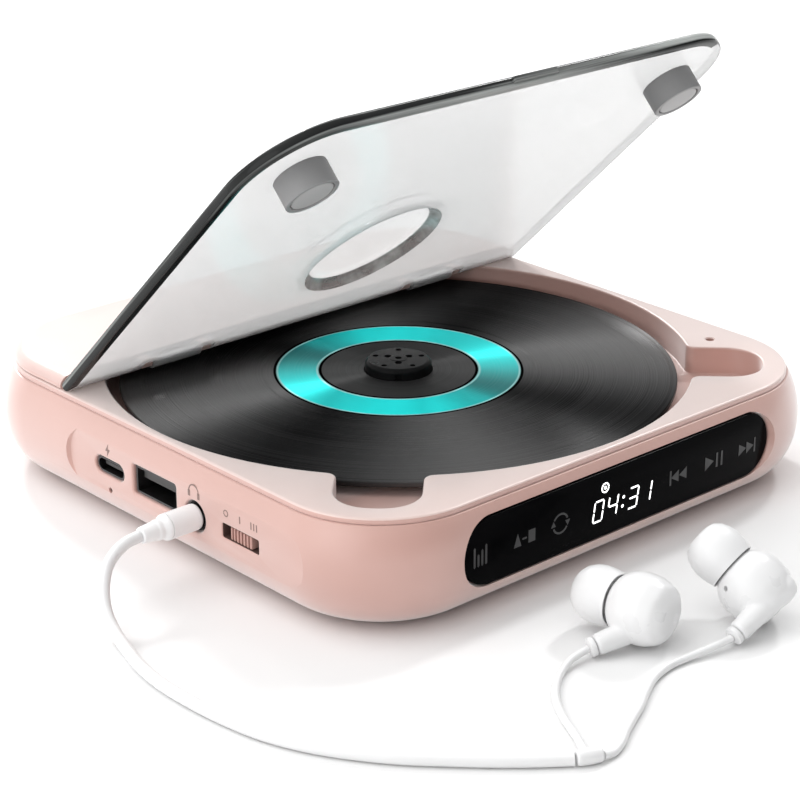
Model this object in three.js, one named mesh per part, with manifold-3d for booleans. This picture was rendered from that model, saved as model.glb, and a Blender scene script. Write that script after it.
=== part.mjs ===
// A portable CD player: moulded case, clear hinged lid, touch display, side sockets,
// the disc drive inside it, and a pair of wired earphones plugged into its jack.
// Millimetres. X runs along the display face, +Y points to the hinge, z = 0 is the table.
import * as THREE from 'three';
import { mergeVertices } from 'three/addons/utils/BufferGeometryUtils.js';
import Module from 'manifold-3d';

const wasm = await Module();
wasm.setup();

// ---- driving dimensions ----
const GAP = 0.3; // air left between neighbours that fit into each other
const DISC = { outer: 60, hole: 7.5, bottom: 20, top: 21.2 };
const CASE = { half: 65.2, corner: 22, bottom: 0.8, belly: 13, seam: 22.8, deckTop: 24.1 };
const SIDE = { bulge: 3, lip: 0.5, tuck: 9 }; // how far the case side swells out and tucks in
const CAVITY = { floor: 2.6, wall: -0.7 }; // inside of the lower shell, as an offset from the case
const WELL = { inner: 63.1, outer: 64.1, floor: 18.8, under: 17.5 };
const NOTCH = { start: 58, end: 78, half: 8.4, corner: 7.5, floor: 17.6, under: 16.3, wall: 1 };
const SENSOR = { x: 57.5, y: -38.4, radius: 1 }; // pinhole in the deck that sees the lid close
const CHASSIS = { half: 27, tab: 34, front: -20, back: 63.6, bottom: 9.5, top: 11, bracket: 15.4 };
const DAMPER = { radius: 3.2, neck: 1.9, bottom: 8.6, top: 12 };
const BOARD = { left: -63, right: -30, front: -42, back: 26, top: 10.2, thick: 1.6 };
const BATTERY = { left: 30, right: 58, half: 40, bottom: 3, top: 11 };
const HUB = { platter: 15, boss: 7.2, top: 23.6, shaft: 0.75 };
const LENS_Y = 24; // lens position over the first track of the disc
const ROD = { x: 17, z: 13, radius: 1, front: 9.5, back: 63.2 };
const SCREW_X = 23.5;
const SLED = { half: 20.3, front: -9.5, back: 3, bottom: 11.4, top: 16.6, nut: 15, turret: 17.4 };
const HINGE = { y: 31.1, z: 25.5, x: 37, half: 6.25, ear: 2.5, pin: 0.5, bore: 0.8 };
const LID = { half: 65, length: 97.1, corner: 18, thick: 2.4, openDegrees: 44 };
const TAB = { left: -5, right: 7, out: 0.9, half: 0.6 }; // finger tab on the lid's front edge
const DISH = { recess: 16.4, dome: 18.2, floor: 1.3, crown: 3 };
const POST = { x: 50.2, y: 51.2, radius: 5.6, end: -6.7 };
const COVER = { front: 32.7, bottom: 24.4, top: 27.1 };
const PEGS = [[52, 52, 2], [58, 38, 1.5]]; // pegs under the rear cover: x, y, radius
const WINDOW = { half: 43.7, low: 6.6, high: 20.6, face: -66.9, back: -65.1 };
const PAD_X = -67.4; // flat panel on the left wall that the sockets open through
const USB_C = { y: 13, z: 13.4, width: 9.3, height: 3.2 };
const USB_A = { y: -2.3, z: 13.9, width: 13.7, height: 5.8 };
const JACK = { y: -15.6, z: 12.5, nose: 3, bore: 1.9 };
const LED = { y: 13, z: 8.5, pipe: 0.5, hole: 0.8 };
const SWITCH = { y: -29.9, z: 12.7, slot: 11.2, height: 3.1, knob: 6.6 };
const FASTENER = { at: 50, split: 9, boss: 3.5, head: 2.2, shaft: 1, top: 15 };
const FOOT = { at: 42, radius: 5 };
const CABLE = { main: 1.2, branch: 0.75 };

// ---- materials ----
const finish = (color, roughness, metalness = 0) => () =>
  new THREE.MeshStandardMaterial({ color, roughness, metalness });
const PINK = finish(0xe2bab0, 0.45);
const CLEAR = finish(0xb9bcbb, 0.15);
const BLACK = finish(0x101011, 0.2);
const BLACK_MATT = finish(0x1b1b1d, 0.6);
const GREY = finish(0x9a9a9c, 0.5);
const WHITE = finish(0xf2f2f2, 0.3);
const SILICONE = finish(0xe8e8e8, 0.55);
const STEEL = finish(0xb8babd, 0.3, 1);
const GREEN = finish(0x1d5a3a, 0.5);
const CELL = finish(0x8d9499, 0.5);
const RUBBER = finish(0x2a2a2a, 0.85);
const LENS = finish(0x8fa8c8, 0.05);
const LAMP = finish(0xf0f0e0, 0.3);

// ---- solids ----
function signedVolume(positions, triangles) {
  const corner = (index) => new THREE.Vector3().fromArray(positions, index * 3);
  let volume = 0;
  for (let i = 0; i < triangles.length; i += 3) {
    const [a, b, c] = [corner(triangles[i]), corner(triangles[i + 1]), corner(triangles[i + 2])];
    volume += a.dot(b.cross(c)) / 6;
  }
  return volume;
}

function toSolid(geometry) {
  geometry.deleteAttribute('normal');
  geometry.deleteAttribute('uv');
  const merged = mergeVertices(geometry, 1e-4);
  const positions = new Float32Array(merged.attributes.position.array);
  const triangles = [];
  const index = merged.index.array;
  for (let i = 0; i < index.length; i += 3) {
    const [a, b, c] = [index[i], index[i + 1], index[i + 2]];
    if (a !== b && b !== c && c !== a) triangles.push(a, b, c);
  }
  if (signedVolume(positions, triangles) < 0) triangles.reverse();
  const triVerts = new Uint32Array(triangles);
  return new wasm.Manifold(new wasm.Mesh({ numProp: 3, vertProperties: positions, triVerts }));
}

function toGeometry(solid) {
  const mesh = solid.getMesh();
  const geometry = new THREE.BufferGeometry();
  geometry.setAttribute('position', new THREE.BufferAttribute(mesh.vertProperties, 3));
  geometry.setIndex(new THREE.BufferAttribute(mesh.triVerts, 1));
  geometry.computeVertexNormals();
  return geometry;
}

const join = (first, ...others) => others.reduce((sum, other) => sum.add(other), first);
const cut = (first, ...tools) => tools.reduce((rest, tool) => rest.subtract(tool), first);

function box(x0, x1, y0, y1, z0, z1) {
  const geometry = new THREE.BoxGeometry(x1 - x0, y1 - y0, z1 - z0);
  geometry.translate((x0 + x1) / 2, (y0 + y1) / 2, (z0 + z1) / 2);
  return toSolid(geometry);
}

function aimed(geometry, from, direction) {
  const turn = new THREE.Quaternion().setFromUnitVectors(new THREE.Vector3(0, 0, 1), direction);
  geometry.applyQuaternion(turn);
  geometry.translate(from.x, from.y, from.z);
  return geometry;
}

function rod(radius, from, to, sides = 16, endRadius = radius) {
  const start = new THREE.Vector3(...from);
  const along = new THREE.Vector3(...to).sub(start);
  const length = along.length();
  const geometry = new THREE.CylinderGeometry(endRadius, radius, length, sides);
  geometry.rotateX(Math.PI / 2);
  geometry.translate(0, 0, length / 2);
  return toSolid(aimed(geometry, start, along.normalize()));
}

const post = (radius, x, y, z0, z1, sides = 16) => rod(radius, [x, y, z0], [x, y, z1], sides);

function lathe(profile, sides) {
  const points = profile.map(([radius, height]) => new THREE.Vector2(radius, height));
  const geometry = new THREE.LatheGeometry(points, sides);
  geometry.rotateX(Math.PI / 2);
  return geometry;
}

function turned(profile, sides = 32, x = 0, y = 0) {
  return toSolid(lathe(profile, sides).translate(x, y, 0));
}

function roundedRect(x0, x1, y0, y1, r) {
  const shape = new THREE.Shape();
  shape.absarc(x1 - r, y1 - r, r, 0, Math.PI / 2);
  shape.absarc(x0 + r, y1 - r, r, Math.PI / 2, Math.PI);
  shape.absarc(x0 + r, y0 + r, r, Math.PI, 1.5 * Math.PI);
  shape.absarc(x1 - r, y0 + r, r, 1.5 * Math.PI, 2 * Math.PI);
  return shape;
}

const centred = (x, y, width, height, r) =>
  roundedRect(x - width / 2, x + width / 2, y - height / 2, y + height / 2, r);

function extrusion(shape, depth, curveSegments = 5) {
  return new THREE.ExtrudeGeometry(shape, { depth, bevelEnabled: false, curveSegments, steps: 1 });
}

const prism = (shape, z0, z1, segments) =>
  toSolid(extrusion(shape, z1 - z0, segments).translate(0, 0, z0));

const AXES = [[1, 0, 0], [0, 1, 0], [0, 0, 1], [0, -1, 0]].map((a) => new THREE.Vector3(...a));

// A shape drawn in (y, z) and pushed along X.
function sidePrism(shape, x0, x1, segments) {
  const turn = new THREE.Matrix4().makeBasis(AXES[1], AXES[2], AXES[0]);
  return toSolid(extrusion(shape, x1 - x0, segments).applyMatrix4(turn).translate(x0, 0, 0));
}

// A shape drawn in (x, z) and pushed along Y.
function frontPrism(shape, y0, y1, segments) {
  const turn = new THREE.Matrix4().makeBasis(AXES[0], AXES[2], AXES[3]);
  return toSolid(extrusion(shape, y1 - y0, segments).applyMatrix4(turn).translate(0, y1, 0));
}

// The case outline seen from above, grown or shrunk by an offset.
function caseOutline(offset) {
  const steps = 6;
  const centre = CASE.half - CASE.corner;
  const radius = CASE.corner + offset;
  const points = [];
  for (let quarter = 0; quarter < 4; quarter += 1) {
    const sx = quarter === 0 || quarter === 3 ? 1 : -1;
    const sy = quarter < 2 ? 1 : -1;
    for (let i = 0; i <= steps; i += 1) {
      const angle = ((quarter + i / steps) * Math.PI) / 2;
      points.push([sx * centre + radius * Math.cos(angle), sy * centre + radius * Math.sin(angle)]);
    }
  }
  return points;
}

// Case outlines stacked at [z, offset] heights and skinned into one solid.
function loft(sections) {
  const positions = [];
  const index = [];
  sections.forEach(([z, offset]) => caseOutline(offset).forEach(([x, y]) => positions.push(x, y, z)));
  const count = caseOutline(0).length;
  const last = sections.length - 1;
  for (let level = 0; level < last; level += 1) {
    for (let i = 0; i < count; i += 1) {
      const [a, b] = [level * count + i, level * count + ((i + 1) % count)];
      index.push(a, b, b + count, a, b + count, a + count);
    }
  }
  positions.push(0, 0, sections[0][0], 0, 0, sections[last][0]);
  const [low, high] = [(last + 1) * count, (last + 1) * count + 1];
  for (let i = 0; i < count; i += 1) {
    const next = (i + 1) % count;
    index.push(low, next, i, high, last * count + i, last * count + next);
  }
  const geometry = new THREE.BufferGeometry();
  geometry.setAttribute('position', new THREE.BufferAttribute(new Float32Array(positions), 3));
  geometry.setIndex(index);
  return toSolid(geometry);
}

// How far the case side stands out from the plain outline at a height.
function sideOffset(z) {
  if (z >= CASE.belly) {
    const rise = (z - CASE.belly) / (CASE.seam - CASE.belly);
    return SIDE.bulge - (SIDE.bulge - SIDE.lip) * rise ** 2.2;
  }
  const drop = (CASE.belly - z) / (CASE.belly - CASE.bottom);
  return SIDE.bulge - SIDE.tuck * (1 - Math.sqrt(1 - drop * drop));
}

// ---- the assembly ----
const player = new THREE.Group();
const lid = new THREE.Group();
lid.position.set(0, HINGE.y, HINGE.z);
lid.rotation.x = THREE.MathUtils.degToRad(-LID.openDegrees);
player.add(lid);

function add(name, solid, material, group = player) {
  const mesh = new THREE.Mesh(toGeometry(solid), material());
  mesh.name = name;
  group.add(mesh);
}

const CORNERS = [[-1, -1], [1, -1], [-1, 1], [1, 1]];
const SIDES = [['left', -1], ['right', 1]];
const DAMPERS = [[-22, -14], [22, -14], [-30, 47], [30, 47]];

// ---- case ----
function portCuts() {
  const reach = [-70, -63];
  const { width: cWidth, height: cHeight } = USB_C;
  const { width: aWidth, height: aHeight } = USB_A;
  const usbC = centred(USB_C.y, USB_C.z, cWidth + 2 * GAP, cHeight + 2 * GAP, cHeight / 2 + GAP);
  const usbA = centred(USB_A.y, USB_A.z, aWidth + 2 * GAP, aHeight + 2 * GAP, 0.8);
  const slot = centred(SWITCH.y, SWITCH.z, SWITCH.slot, SWITCH.height, 0.5);
  return [
    sidePrism(usbC, ...reach, 3),
    sidePrism(usbA, ...reach, 2),
    sidePrism(slot, ...reach, 2),
    rod(JACK.nose + GAP, [-70, JACK.y, JACK.z], [-63, JACK.y, JACK.z], 16),
    rod(LED.hole, [-70, LED.y, LED.z], [-63, LED.y, LED.z], 8),
  ];
}

function baseShell() {
  const levels = [0.8, 1.4, 3, 5.5, 9, 13, 17, 20.5, 22.8];
  const outside = loft(levels.map((z) => [z, sideOffset(z)]));
  const bowl = [[CAVITY.floor, -4.7], [3.2, -3.2], [4.2, -2], [6.5, CAVITY.wall], [25, CAVITY.wall]];
  const socketPanel = sidePrism(centred(-11, CASE.belly, 75.4, 15, 7.4), -72, PAD_X);
  const { half, low, high, face, back } = WINDOW;
  const pocketEdge = (high - low) / 2 + GAP;
  const pocket = roundedRect(-half - GAP, half + GAP, low - GAP, high + GAP, pocketEdge - 0.01);
  const sight = roundedRect(-half + 2, half - 2, low + 2, high - 2, 4.9);
  let shell = cut(outside, loft(bowl), socketPanel, ...portCuts());
  shell = cut(shell, frontPrism(pocket, -72, back, 6), frontPrism(sight, face, -63, 3));
  const { at, split, boss, head, shaft } = FASTENER;
  const root = CAVITY.floor - 0.5;
  CORNERS.forEach(([sx, sy]) => {
    const [x, y] = [sx * at, sy * at];
    shell = join(shell, post(boss, x, y, root, split, 10));
    shell = cut(shell, post(head + 0.4, x, y, 0, 4.5, 12), post(shaft + 0.4, x, y, 4, 12, 8));
    shell = cut(shell, post(FOOT.radius + 0.2, sx * FOOT.at, sy * FOOT.at, 0, 1.2, 16));
  });
  DAMPERS.forEach(([x, y]) => {
    shell = join(shell, post(DAMPER.radius, x, y, root, DAMPER.bottom, 8));
  });
  [[-58, -38], [-34, -38], [-58, 22], [-34, 22]].forEach(([x, y]) => {
    shell = join(shell, post(2, x, y, root, BOARD.top - BOARD.thick, 6));
  });
  return shell;
}

function notchPrism(sx, grow, z0, z1) {
  const { start, end, half, corner } = NOTCH;
  const shape = roundedRect(start - grow, end + grow, -half - grow, half + grow, corner + grow);
  const geometry = extrusion(shape, z1 - z0, 4).translate(0, 0, z0);
  return toSolid(geometry.rotateZ(sx > 0 ? -Math.PI / 4 : -0.75 * Math.PI));
}

function topDeck() {
  const { inner, outer, floor, under } = WELL;
  const top = CASE.deckTop;
  let deck = loft([[CASE.seam, -0.2], [23.1, 0], [23.7, 0], [top, -0.4]]);
  deck = join(deck, post(outer, 0, 0, under, 23, 56));
  SIDES.forEach(([, sx]) => {
    deck = join(deck, notchPrism(sx, NOTCH.wall, NOTCH.under, 23));
  });
  const { at, split } = FASTENER;
  CORNERS.forEach(([sx, sy]) => {
    deck = join(deck, post(3.2, sx * at, sy * at, split, sy < 0 ? 17 : 23, 10));
  });
  deck = cut(deck, post(inner, 0, 0, floor, 26, 56));
  SIDES.forEach(([, sx]) => {
    deck = cut(deck, notchPrism(sx, 0, NOTCH.floor, 26));
  });
  CORNERS.forEach(([sx, sy]) => {
    deck = cut(deck, post(FASTENER.shaft + GAP, sx * at, sy * at, 8, FASTENER.top + GAP, 8));
  });
  const lensSlot = prism(roundedRect(-9, 9, 0, 60.5, 5), 15, 22, 4);
  const pinhole = post(SENSOR.radius, SENSOR.x, SENSOR.y, 22, 26, 8);
  return cut(deck, post(HUB.platter + 1.5, 0, 0, 15, 22, 24), lensSlot, pinhole);
}

function rearCover() {
  const { front, bottom, top } = COVER;
  const blank = loft([[bottom, -0.3], [24.7, 0], [25.6, 0], [26.4, -0.5], [26.9, -1.3], [top, -2.4]]);
  let cover = blank.intersect(box(-70, 70, front, 70, 20, 30));
  const { y, z, x, half, ear, bore } = HINGE;
  SIDES.forEach(([, sx]) => {
    const [near, far] = [x - half - ear - 0.6, x + half + ear + 0.6];
    cover = cut(cover, rod(2.1, [sx * near, y, z], [sx * far, y, z], 12));
    [x - half - GAP - ear, x + half + GAP].forEach((from) => {
      const [x0, x1] = sx > 0 ? [from, from + ear] : [-from - ear, -from];
      cover = join(cover, box(x0, x1, y - 1.4, y + 2.6, bottom, z + 1.1));
    });
    cover = cut(cover, rod(bore, [sx * near, y, z], [sx * far, y, z], 8));
    PEGS.forEach(([pegX, pegY, radius]) => {
      cover = join(cover, post(radius, sx * pegX, pegY, CASE.deckTop, 25, 8));
    });
  });
  return cover;
}

function displayWindow() {
  const { half, low, high, face, back } = WINDOW;
  return frontPrism(roundedRect(-half, half, low, high, (high - low) / 2 - 0.01), face, back, 6);
}

add('base_shell', baseShell(), PINK);
add('top_deck', topDeck(), PINK);
add('rear_cover', rearCover(), PINK);
add('display_window', displayWindow(), BLACK);
CORNERS.forEach(([sx, sy], i) => {
  const { at, head, shaft, top } = FASTENER;
  const screw = join(post(head, sx * at, sy * at, 2.6, 4.4, 10), post(shaft, sx * at, sy * at, 4, top, 6));
  add(`case_screw_${i + 1}`, screw, STEEL);
  add(`foot_${i + 1}`, post(FOOT.radius, sx * FOOT.at, sy * FOOT.at, 0, 1.2, 16), RUBBER);
});

// ---- lid, in the hinge's own frame: closed it lies along -Y ----
function lidPanel() {
  const half = LID.thick / 2;
  const outline = new THREE.Shape();
  const { corner, length } = LID;
  outline.moveTo(LID.half, 0);
  outline.lineTo(-LID.half, 0);
  outline.absarc(-LID.half + corner, -length + corner, corner, Math.PI, 1.5 * Math.PI);
  outline.absarc(LID.half - corner, -length + corner, corner, 1.5 * Math.PI, 2 * Math.PI);
  let panel = join(
    prism(outline, -half, half, 8),
    rod(half, [-LID.half, 0, 0], [LID.half, 0, 0], 12),
    box(TAB.left, TAB.right, -length - TAB.out, -length + 1, -TAB.half, TAB.half),
  );
  const { x, half: knuckle, ear, bore } = HINGE;
  SIDES.forEach(([, sx]) => {
    const reach = knuckle + ear + 2 * GAP;
    panel = cut(panel, box(sx * x - reach, sx * x + reach, -2.4, 2, -2, 2));
    const bar = rod(1.7, [sx * x - knuckle, 0, 0], [sx * x + knuckle, 0, 0], 12);
    panel = join(panel, bar, box(sx * x - knuckle, sx * x + knuckle, -2.8, 0, -half, half));
    panel = cut(panel, rod(bore, [sx * x - reach, 0, 0], [sx * x + reach, 0, 0], 8));
  });
  const { recess, dome, floor, crown } = DISH;
  const rise = [[0, 1], [dome, 1], [dome - 0.8, 2], [dome - 3.6, crown], [0, crown]];
  const hollow = [[0, -1.4], [recess, -1.4], [recess - 0.8, 0], [recess - 3.4, floor], [0, floor]];
  panel = join(panel, turned(rise, 28, 0, -HINGE.y));
  return cut(panel, turned(hollow, 28, 0, -HINGE.y));
}

add('lid_panel', lidPanel(), CLEAR, lid);
SIDES.forEach(([side, sx]) => {
  const [x, y] = [sx * POST.x, -POST.y - HINGE.y];
  const top = -LID.thick / 2 - GAP;
  const recess = post(POST.radius - 1, x, y, POST.end - 1, POST.end + 0.9, 16);
  add(`lid_post_${side}`, cut(post(POST.radius, x, y, POST.end, top, 20), recess), GREY, lid);
  const magnet = post(POST.radius - 1.3, x, y, POST.end + 0.1, POST.end + 0.6, 16);
  add(`post_magnet_${side}`, magnet, GREY, lid);
  const reach = HINGE.half + HINGE.ear + GAP;
  const [x0, x1] = [sx * HINGE.x - reach, sx * HINGE.x + reach];
  add(`hinge_pin_${side}`, rod(HINGE.pin, [x0, HINGE.y, HINGE.z], [x1, HINGE.y, HINGE.z], 8), STEEL);
});

// ---- electronics ----
const boardChips = [[-55, -50, 12, 20], [-45, -36, -8, 2], [-44, -38, 8, 14]];
add('main_board', boardChips.reduce(
  (board, [x0, x1, y0, y1]) => join(board, box(x0, x1, y0, y1, BOARD.top - 0.2, BOARD.top + 1)),
  box(BOARD.left, BOARD.right, BOARD.front, BOARD.back, BOARD.top - BOARD.thick, BOARD.top),
), GREEN);
const pack = roundedRect(BATTERY.left, BATTERY.right, -BATTERY.half, BATTERY.half, 2);
add('battery_pack', prism(pack, BATTERY.bottom, BATTERY.top, 3), CELL);
add('display_board', box(-40, 40, -62.4, -61.2, 7.5, 17.2), GREEN);
add('led_display_module', box(-12, 10.5, -64.9, -62.4, 8.6, 17), WHITE);

function usbC() {
  const { y, z, width, height } = USB_C;
  const shell = sidePrism(centred(y, z, width, height, height / 2 - 0.01), -66.9, -59.5, 3);
  const foot = box(-64.2, -60, y - 4, y + 4, BOARD.top, z);
  const mouth = sidePrism(centred(y, z, width - 0.7, height - 0.7, height / 2 - 0.36), -68, -60.3, 3);
  return cut(join(shell, foot), mouth);
}
add('usb_c_socket', usbC(), STEEL);
function usbCTongue() {
  const { y, z } = USB_C;
  return box(-65.9, -60.3, y - 3.3, y + 3.3, z - 0.35, z + 0.35);
}
add('usb_c_tongue', usbCTongue(), BLACK);

function usbA() {
  const { y, z, width, height } = USB_A;
  const [w, h] = [width / 2, height / 2];
  const shell = box(-66.7, -53, y - w, y + w, z - h, z + h);
  const foot = box(-64, -54, y - 5, y + 5, BOARD.top, z);
  return cut(join(shell, foot), box(-68, -54, y - w + 0.5, y + w - 0.5, z - h + 0.4, z + h - 0.4));
}
add('usb_a_socket', usbA(), STEEL);
function usbATongue() {
  const { y, z } = USB_A;
  return box(-65.6, -54, y - 5.6, y + 5.6, z + 0.3, z + 2.1);
}
add('usb_a_tongue', usbATongue(), BLACK_MATT);

function headphoneJack() {
  const { y, z, nose, bore } = JACK;
  const block = box(-64.2, -50, y - 3.6, y + 3.6, BOARD.top, z + 3.1);
  const barrel = rod(nose, [-66.9, y, z], [-63, y, z], 16);
  return cut(join(block, barrel), rod(bore, [-68, y, z], [-52.5, y, z], 12));
}
add('headphone_jack', headphoneJack(), BLACK);
add('charge_led', rod(LED.pipe, [-66.9, LED.y, LED.z], [-64, LED.y, LED.z], 8), LAMP);

function switchBody() {
  const { y, z } = SWITCH;
  const block = box(-62.9, -57, y - 6, y + 6, BOARD.top, z + 2.5);
  return cut(block, box(-64, -60, y - 4.4, y + 4.4, z - 1.2, z + 1.2));
}
add('switch_body', switchBody(), BLACK_MATT);

function switchKnob() {
  const { y, z, knob, height } = SWITCH;
  const [half, rise] = [knob / 2, height / 2 - 0.2];
  let cap = join(
    box(-67.3, -65, y - half, y + half, z - rise, z + rise),
    box(-65.2, -60.5, y - 1.5, y + 1.5, z - 0.8, z + 0.8),
  );
  for (let i = -2; i <= 2; i += 1) {
    const middle = y + i * 1.2;
    cap = cut(cap, box(-68, -66.9, middle - 0.25, middle + 0.25, z - 2, z + 2));
  }
  return cap;
}
add('switch_knob', switchKnob(), PINK);

// ---- disc drive ----
function traverseChassis() {
  const { half, tab, front, back, bottom, top, bracket } = CHASSIS;
  let plate = box(-half, half, front, back, bottom, top);
  plate = join(plate, box(-tab, tab, 43, 51, bottom, top));
  plate = cut(plate, post(12.3, 0, 0, 8, 12, 24), box(-14, 14, 15, 58, 8, 12));
  plate = cut(plate, box(18.5, 30, -8.5, 9.2, 8, 12));
  DAMPERS.forEach(([x, y]) => {
    plate = cut(plate, post(DAMPER.neck + GAP, x, y, 8, 12, 8));
  });
  const [inner, leftEnd, rightEnd] = [ROD.x - 2.3, -ROD.x - 2.5, SCREW_X + 2.5];
  [[ROD.front, 13.5], [60, back]].forEach(([y0, y1]) => {
    plate = join(plate, box(leftEnd, -inner, y0, y1, top - 0.2, bracket));
    plate = join(plate, box(inner, rightEnd, y0, y1, top - 0.2, bracket));
  });
  SIDES.forEach(([, sx]) => {
    plate = cut(plate, rod(ROD.radius + GAP, [sx * ROD.x, 8, ROD.z], [sx * ROD.x, 65, ROD.z], 8));
  });
  return cut(plate, rod(1.5, [SCREW_X, 8, ROD.z], [SCREW_X, 65, ROD.z], 8));
}
add('traverse_chassis', traverseChassis(), BLACK_MATT);
DAMPERS.forEach(([x, y], i) => {
  const { radius, neck, bottom, top } = DAMPER;
  const [groove, lip] = [bottom + 0.7, top - 0.8];
  const spool = [[0, bottom], [radius, bottom], [radius, groove], [neck, groove], [neck, lip], [radius, lip],
    [radius, top], [0, top]];
  add(`damper_${i + 1}`, turned(spool, 8, x, y), RUBBER);
});
SIDES.forEach(([side, sx]) => {
  const x = sx * ROD.x;
  add(`guide_rod_${side}`, rod(ROD.radius, [x, ROD.front, ROD.z], [x, ROD.back, ROD.z], 10), STEEL);
});
add('lead_screw', rod(1.1, [SCREW_X, 9.4, ROD.z], [SCREW_X, ROD.back, ROD.z], 10), STEEL);
add('sled_motor', rod(4.2, [SCREW_X, -7, ROD.z], [SCREW_X, 9.2, ROD.z], 16), STEEL);

function pickupSled() {
  const { half, bottom, top, nut, turret } = SLED;
  const [front, back] = [LENS_Y + SLED.front, LENS_Y + SLED.back];
  let sled = join(
    box(-half, half, front, back, bottom, top),
    box(half - 0.3, SCREW_X + 2.6, front + 2, back - 2, bottom, nut),
    box(-5, 5, LENS_Y - 3.6, back, top - 0.6, turret),
  );
  SIDES.forEach(([, sx]) => {
    sled = cut(sled, rod(ROD.radius + GAP, [sx * ROD.x, 10, ROD.z], [sx * ROD.x, 30, ROD.z], 8));
  });
  return cut(sled, rod(1.5, [SCREW_X, 10, ROD.z], [SCREW_X, 30, ROD.z], 8));
}
add('pickup_sled', pickupSled(), BLACK_MATT);
const LENS_PROFILE = [[0, 17.9], [2.2, 17.9], [2.2, 18.4], [1.4, 18.8], [0, 18.9]];
add('objective_lens', turned(LENS_PROFILE, 14, 0, LENS_Y), LENS);

const MOTOR = [[0, 5.5], [12, 5.5], [12, 11], [14.5, 11], [14.5, 11.8], [12, 11.8], [12, 14.8], [3, 14.8],
  [3, 15.6], [1.1, 15.6], [1.1, 7.5], [0, 7.5]];
add('spindle_motor', turned(MOTOR, 20), STEEL);

const { platter, boss, top: hubTop, shaft } = HUB;
const TURNTABLE = [[0, 8], [shaft, 8], [shaft, 16.2], [4, 16.2], [4, 17.9], [platter, 17.9],
  [platter, DISC.bottom], [boss, DISC.bottom], [boss, hubTop - 0.8], [boss - 0.8, hubTop], [0, hubTop]];
add('turntable_hub', turned(TURNTABLE, 24), BLACK);
const { outer: discEdge, hole, bottom: discBottom, top: discTop } = DISC;
const DISC_PROFILE = [[hole, discBottom], [discEdge, discBottom], [discEdge, discTop], [hole, discTop],
  [hole, discBottom]];
add('compact_disc', turned(DISC_PROFILE, 60), BLACK);

// ---- earphones ----
const plugPoint = (x) => [x, JACK.y, JACK.z];
const PLUG = { face: -67.2, barrel: 2.7, shoulder: -75.2, end: -80.5 };

function plugBody() {
  const { face, barrel, shoulder, end } = PLUG;
  return join(
    rod(barrel, plugPoint(face), plugPoint(shoulder), 16),
    rod(barrel, plugPoint(shoulder), plugPoint(shoulder - 0.7), 16, 2.1),
    rod(2.1, plugPoint(shoulder - 0.7), plugPoint(end), 16, 1.6),
  );
}
add('plug_body', plugBody(), WHITE);
add('plug_tip', join(
  rod(1.7, plugPoint(PLUG.face), plugPoint(-56), 10),
  rod(1.3, plugPoint(-56.1), plugPoint(-55.4), 10),
  rod(1.3, plugPoint(-55.5), plugPoint(-54.8), 10, 1.7),
  rod(1.7, plugPoint(-54.9), plugPoint(-53.4), 10, 0.8),
), STEEL);

// Cable routes: straight out of the fitting, down to the table, then loose along it.
const MAIN_ROUTE = [[-80.8, -15.6, 12.5], [-84.5, -15.8, 12], [-88.8, -17, 10.2], [-92.1, -19.6, 7.4],
  [-94.5, -23.4, 4.4], [-96, -28.4, 2.1], [-97.4, -33.8, 1.3], [-99.3, -40.5, 1.3], [-100.4, -48, 1.3],
  [-100.5, -56, 1.3], [-99.8, -65, 1.3], [-98.2, -74, 1.3], [-95.4, -81.5, 1.3], [-91.8, -88, 1.3],
  [-86.3, -95.6, 1.3], [-80, -102.3, 1.3], [-74.2, -108, 1.3], [-69.3, -112.3, 1.3], [-64.5, -116.1, 1.3]];
const LEFT_ROUTE = [[-61, -116, 1], [-60.2, -114, 0.9], [-58.4, -110.8, 0.9], [-55.4, -104.8, 0.9],
  [-52.3, -100, 0.9], [-48.6, -96.2, 0.9], [-44.4, -93.3, 1], [-40.3, -91.8, 1.6], [-35.8, -91.6, 2.1]];
const RIGHT_ROUTE = [[-59.8, -118.5, 1.2], [-57.6, -118.6, 0.9], [-54.4, -117.5, 0.9], [-50.6, -115.2, 0.9],
  [-46.8, -113.2, 0.9], [-42.8, -111.2, 0.9], [-38.6, -108.6, 0.9], [-33.2, -105.8, 0.9],
  [-27.8, -104.5, 0.9], [-22.6, -104.8, 1], [-17.6, -105.9, 1.6], [-13.2, -106.6, 2.1]];

function tube(route, radius, spacing) {
  const path = new THREE.CatmullRomCurve3(route.map((point) => new THREE.Vector3(...point)));
  const ring = Array.from({ length: 8 }, (_, i) => {
    const angle = ((i + 0.5) * Math.PI) / 4;
    return new THREE.Vector2(radius * Math.cos(angle), radius * Math.sin(angle));
  });
  const steps = Math.ceil(path.getLength() / spacing);
  const options = { steps, extrudePath: path, bevelEnabled: false };
  return toSolid(new THREE.ExtrudeGeometry(new THREE.Shape(ring), options));
}

add('main_cable', tube(MAIN_ROUTE, CABLE.main, 5), WHITE);
add('cable_left', tube(LEFT_ROUTE, CABLE.branch, 3), WHITE);
add('cable_right', tube(RIGHT_ROUTE, CABLE.branch, 3), WHITE);
add('cable_splitter', join(
  rod(1.3, [-64.2, -116.3, 1.5], [-62.2, -117.3, 1.5], 12, 1.5),
  rod(1.5, [-62.2, -117.3, 1.5], [-60.1, -118.4, 1.5], 12, 1.2),
), WHITE);

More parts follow.
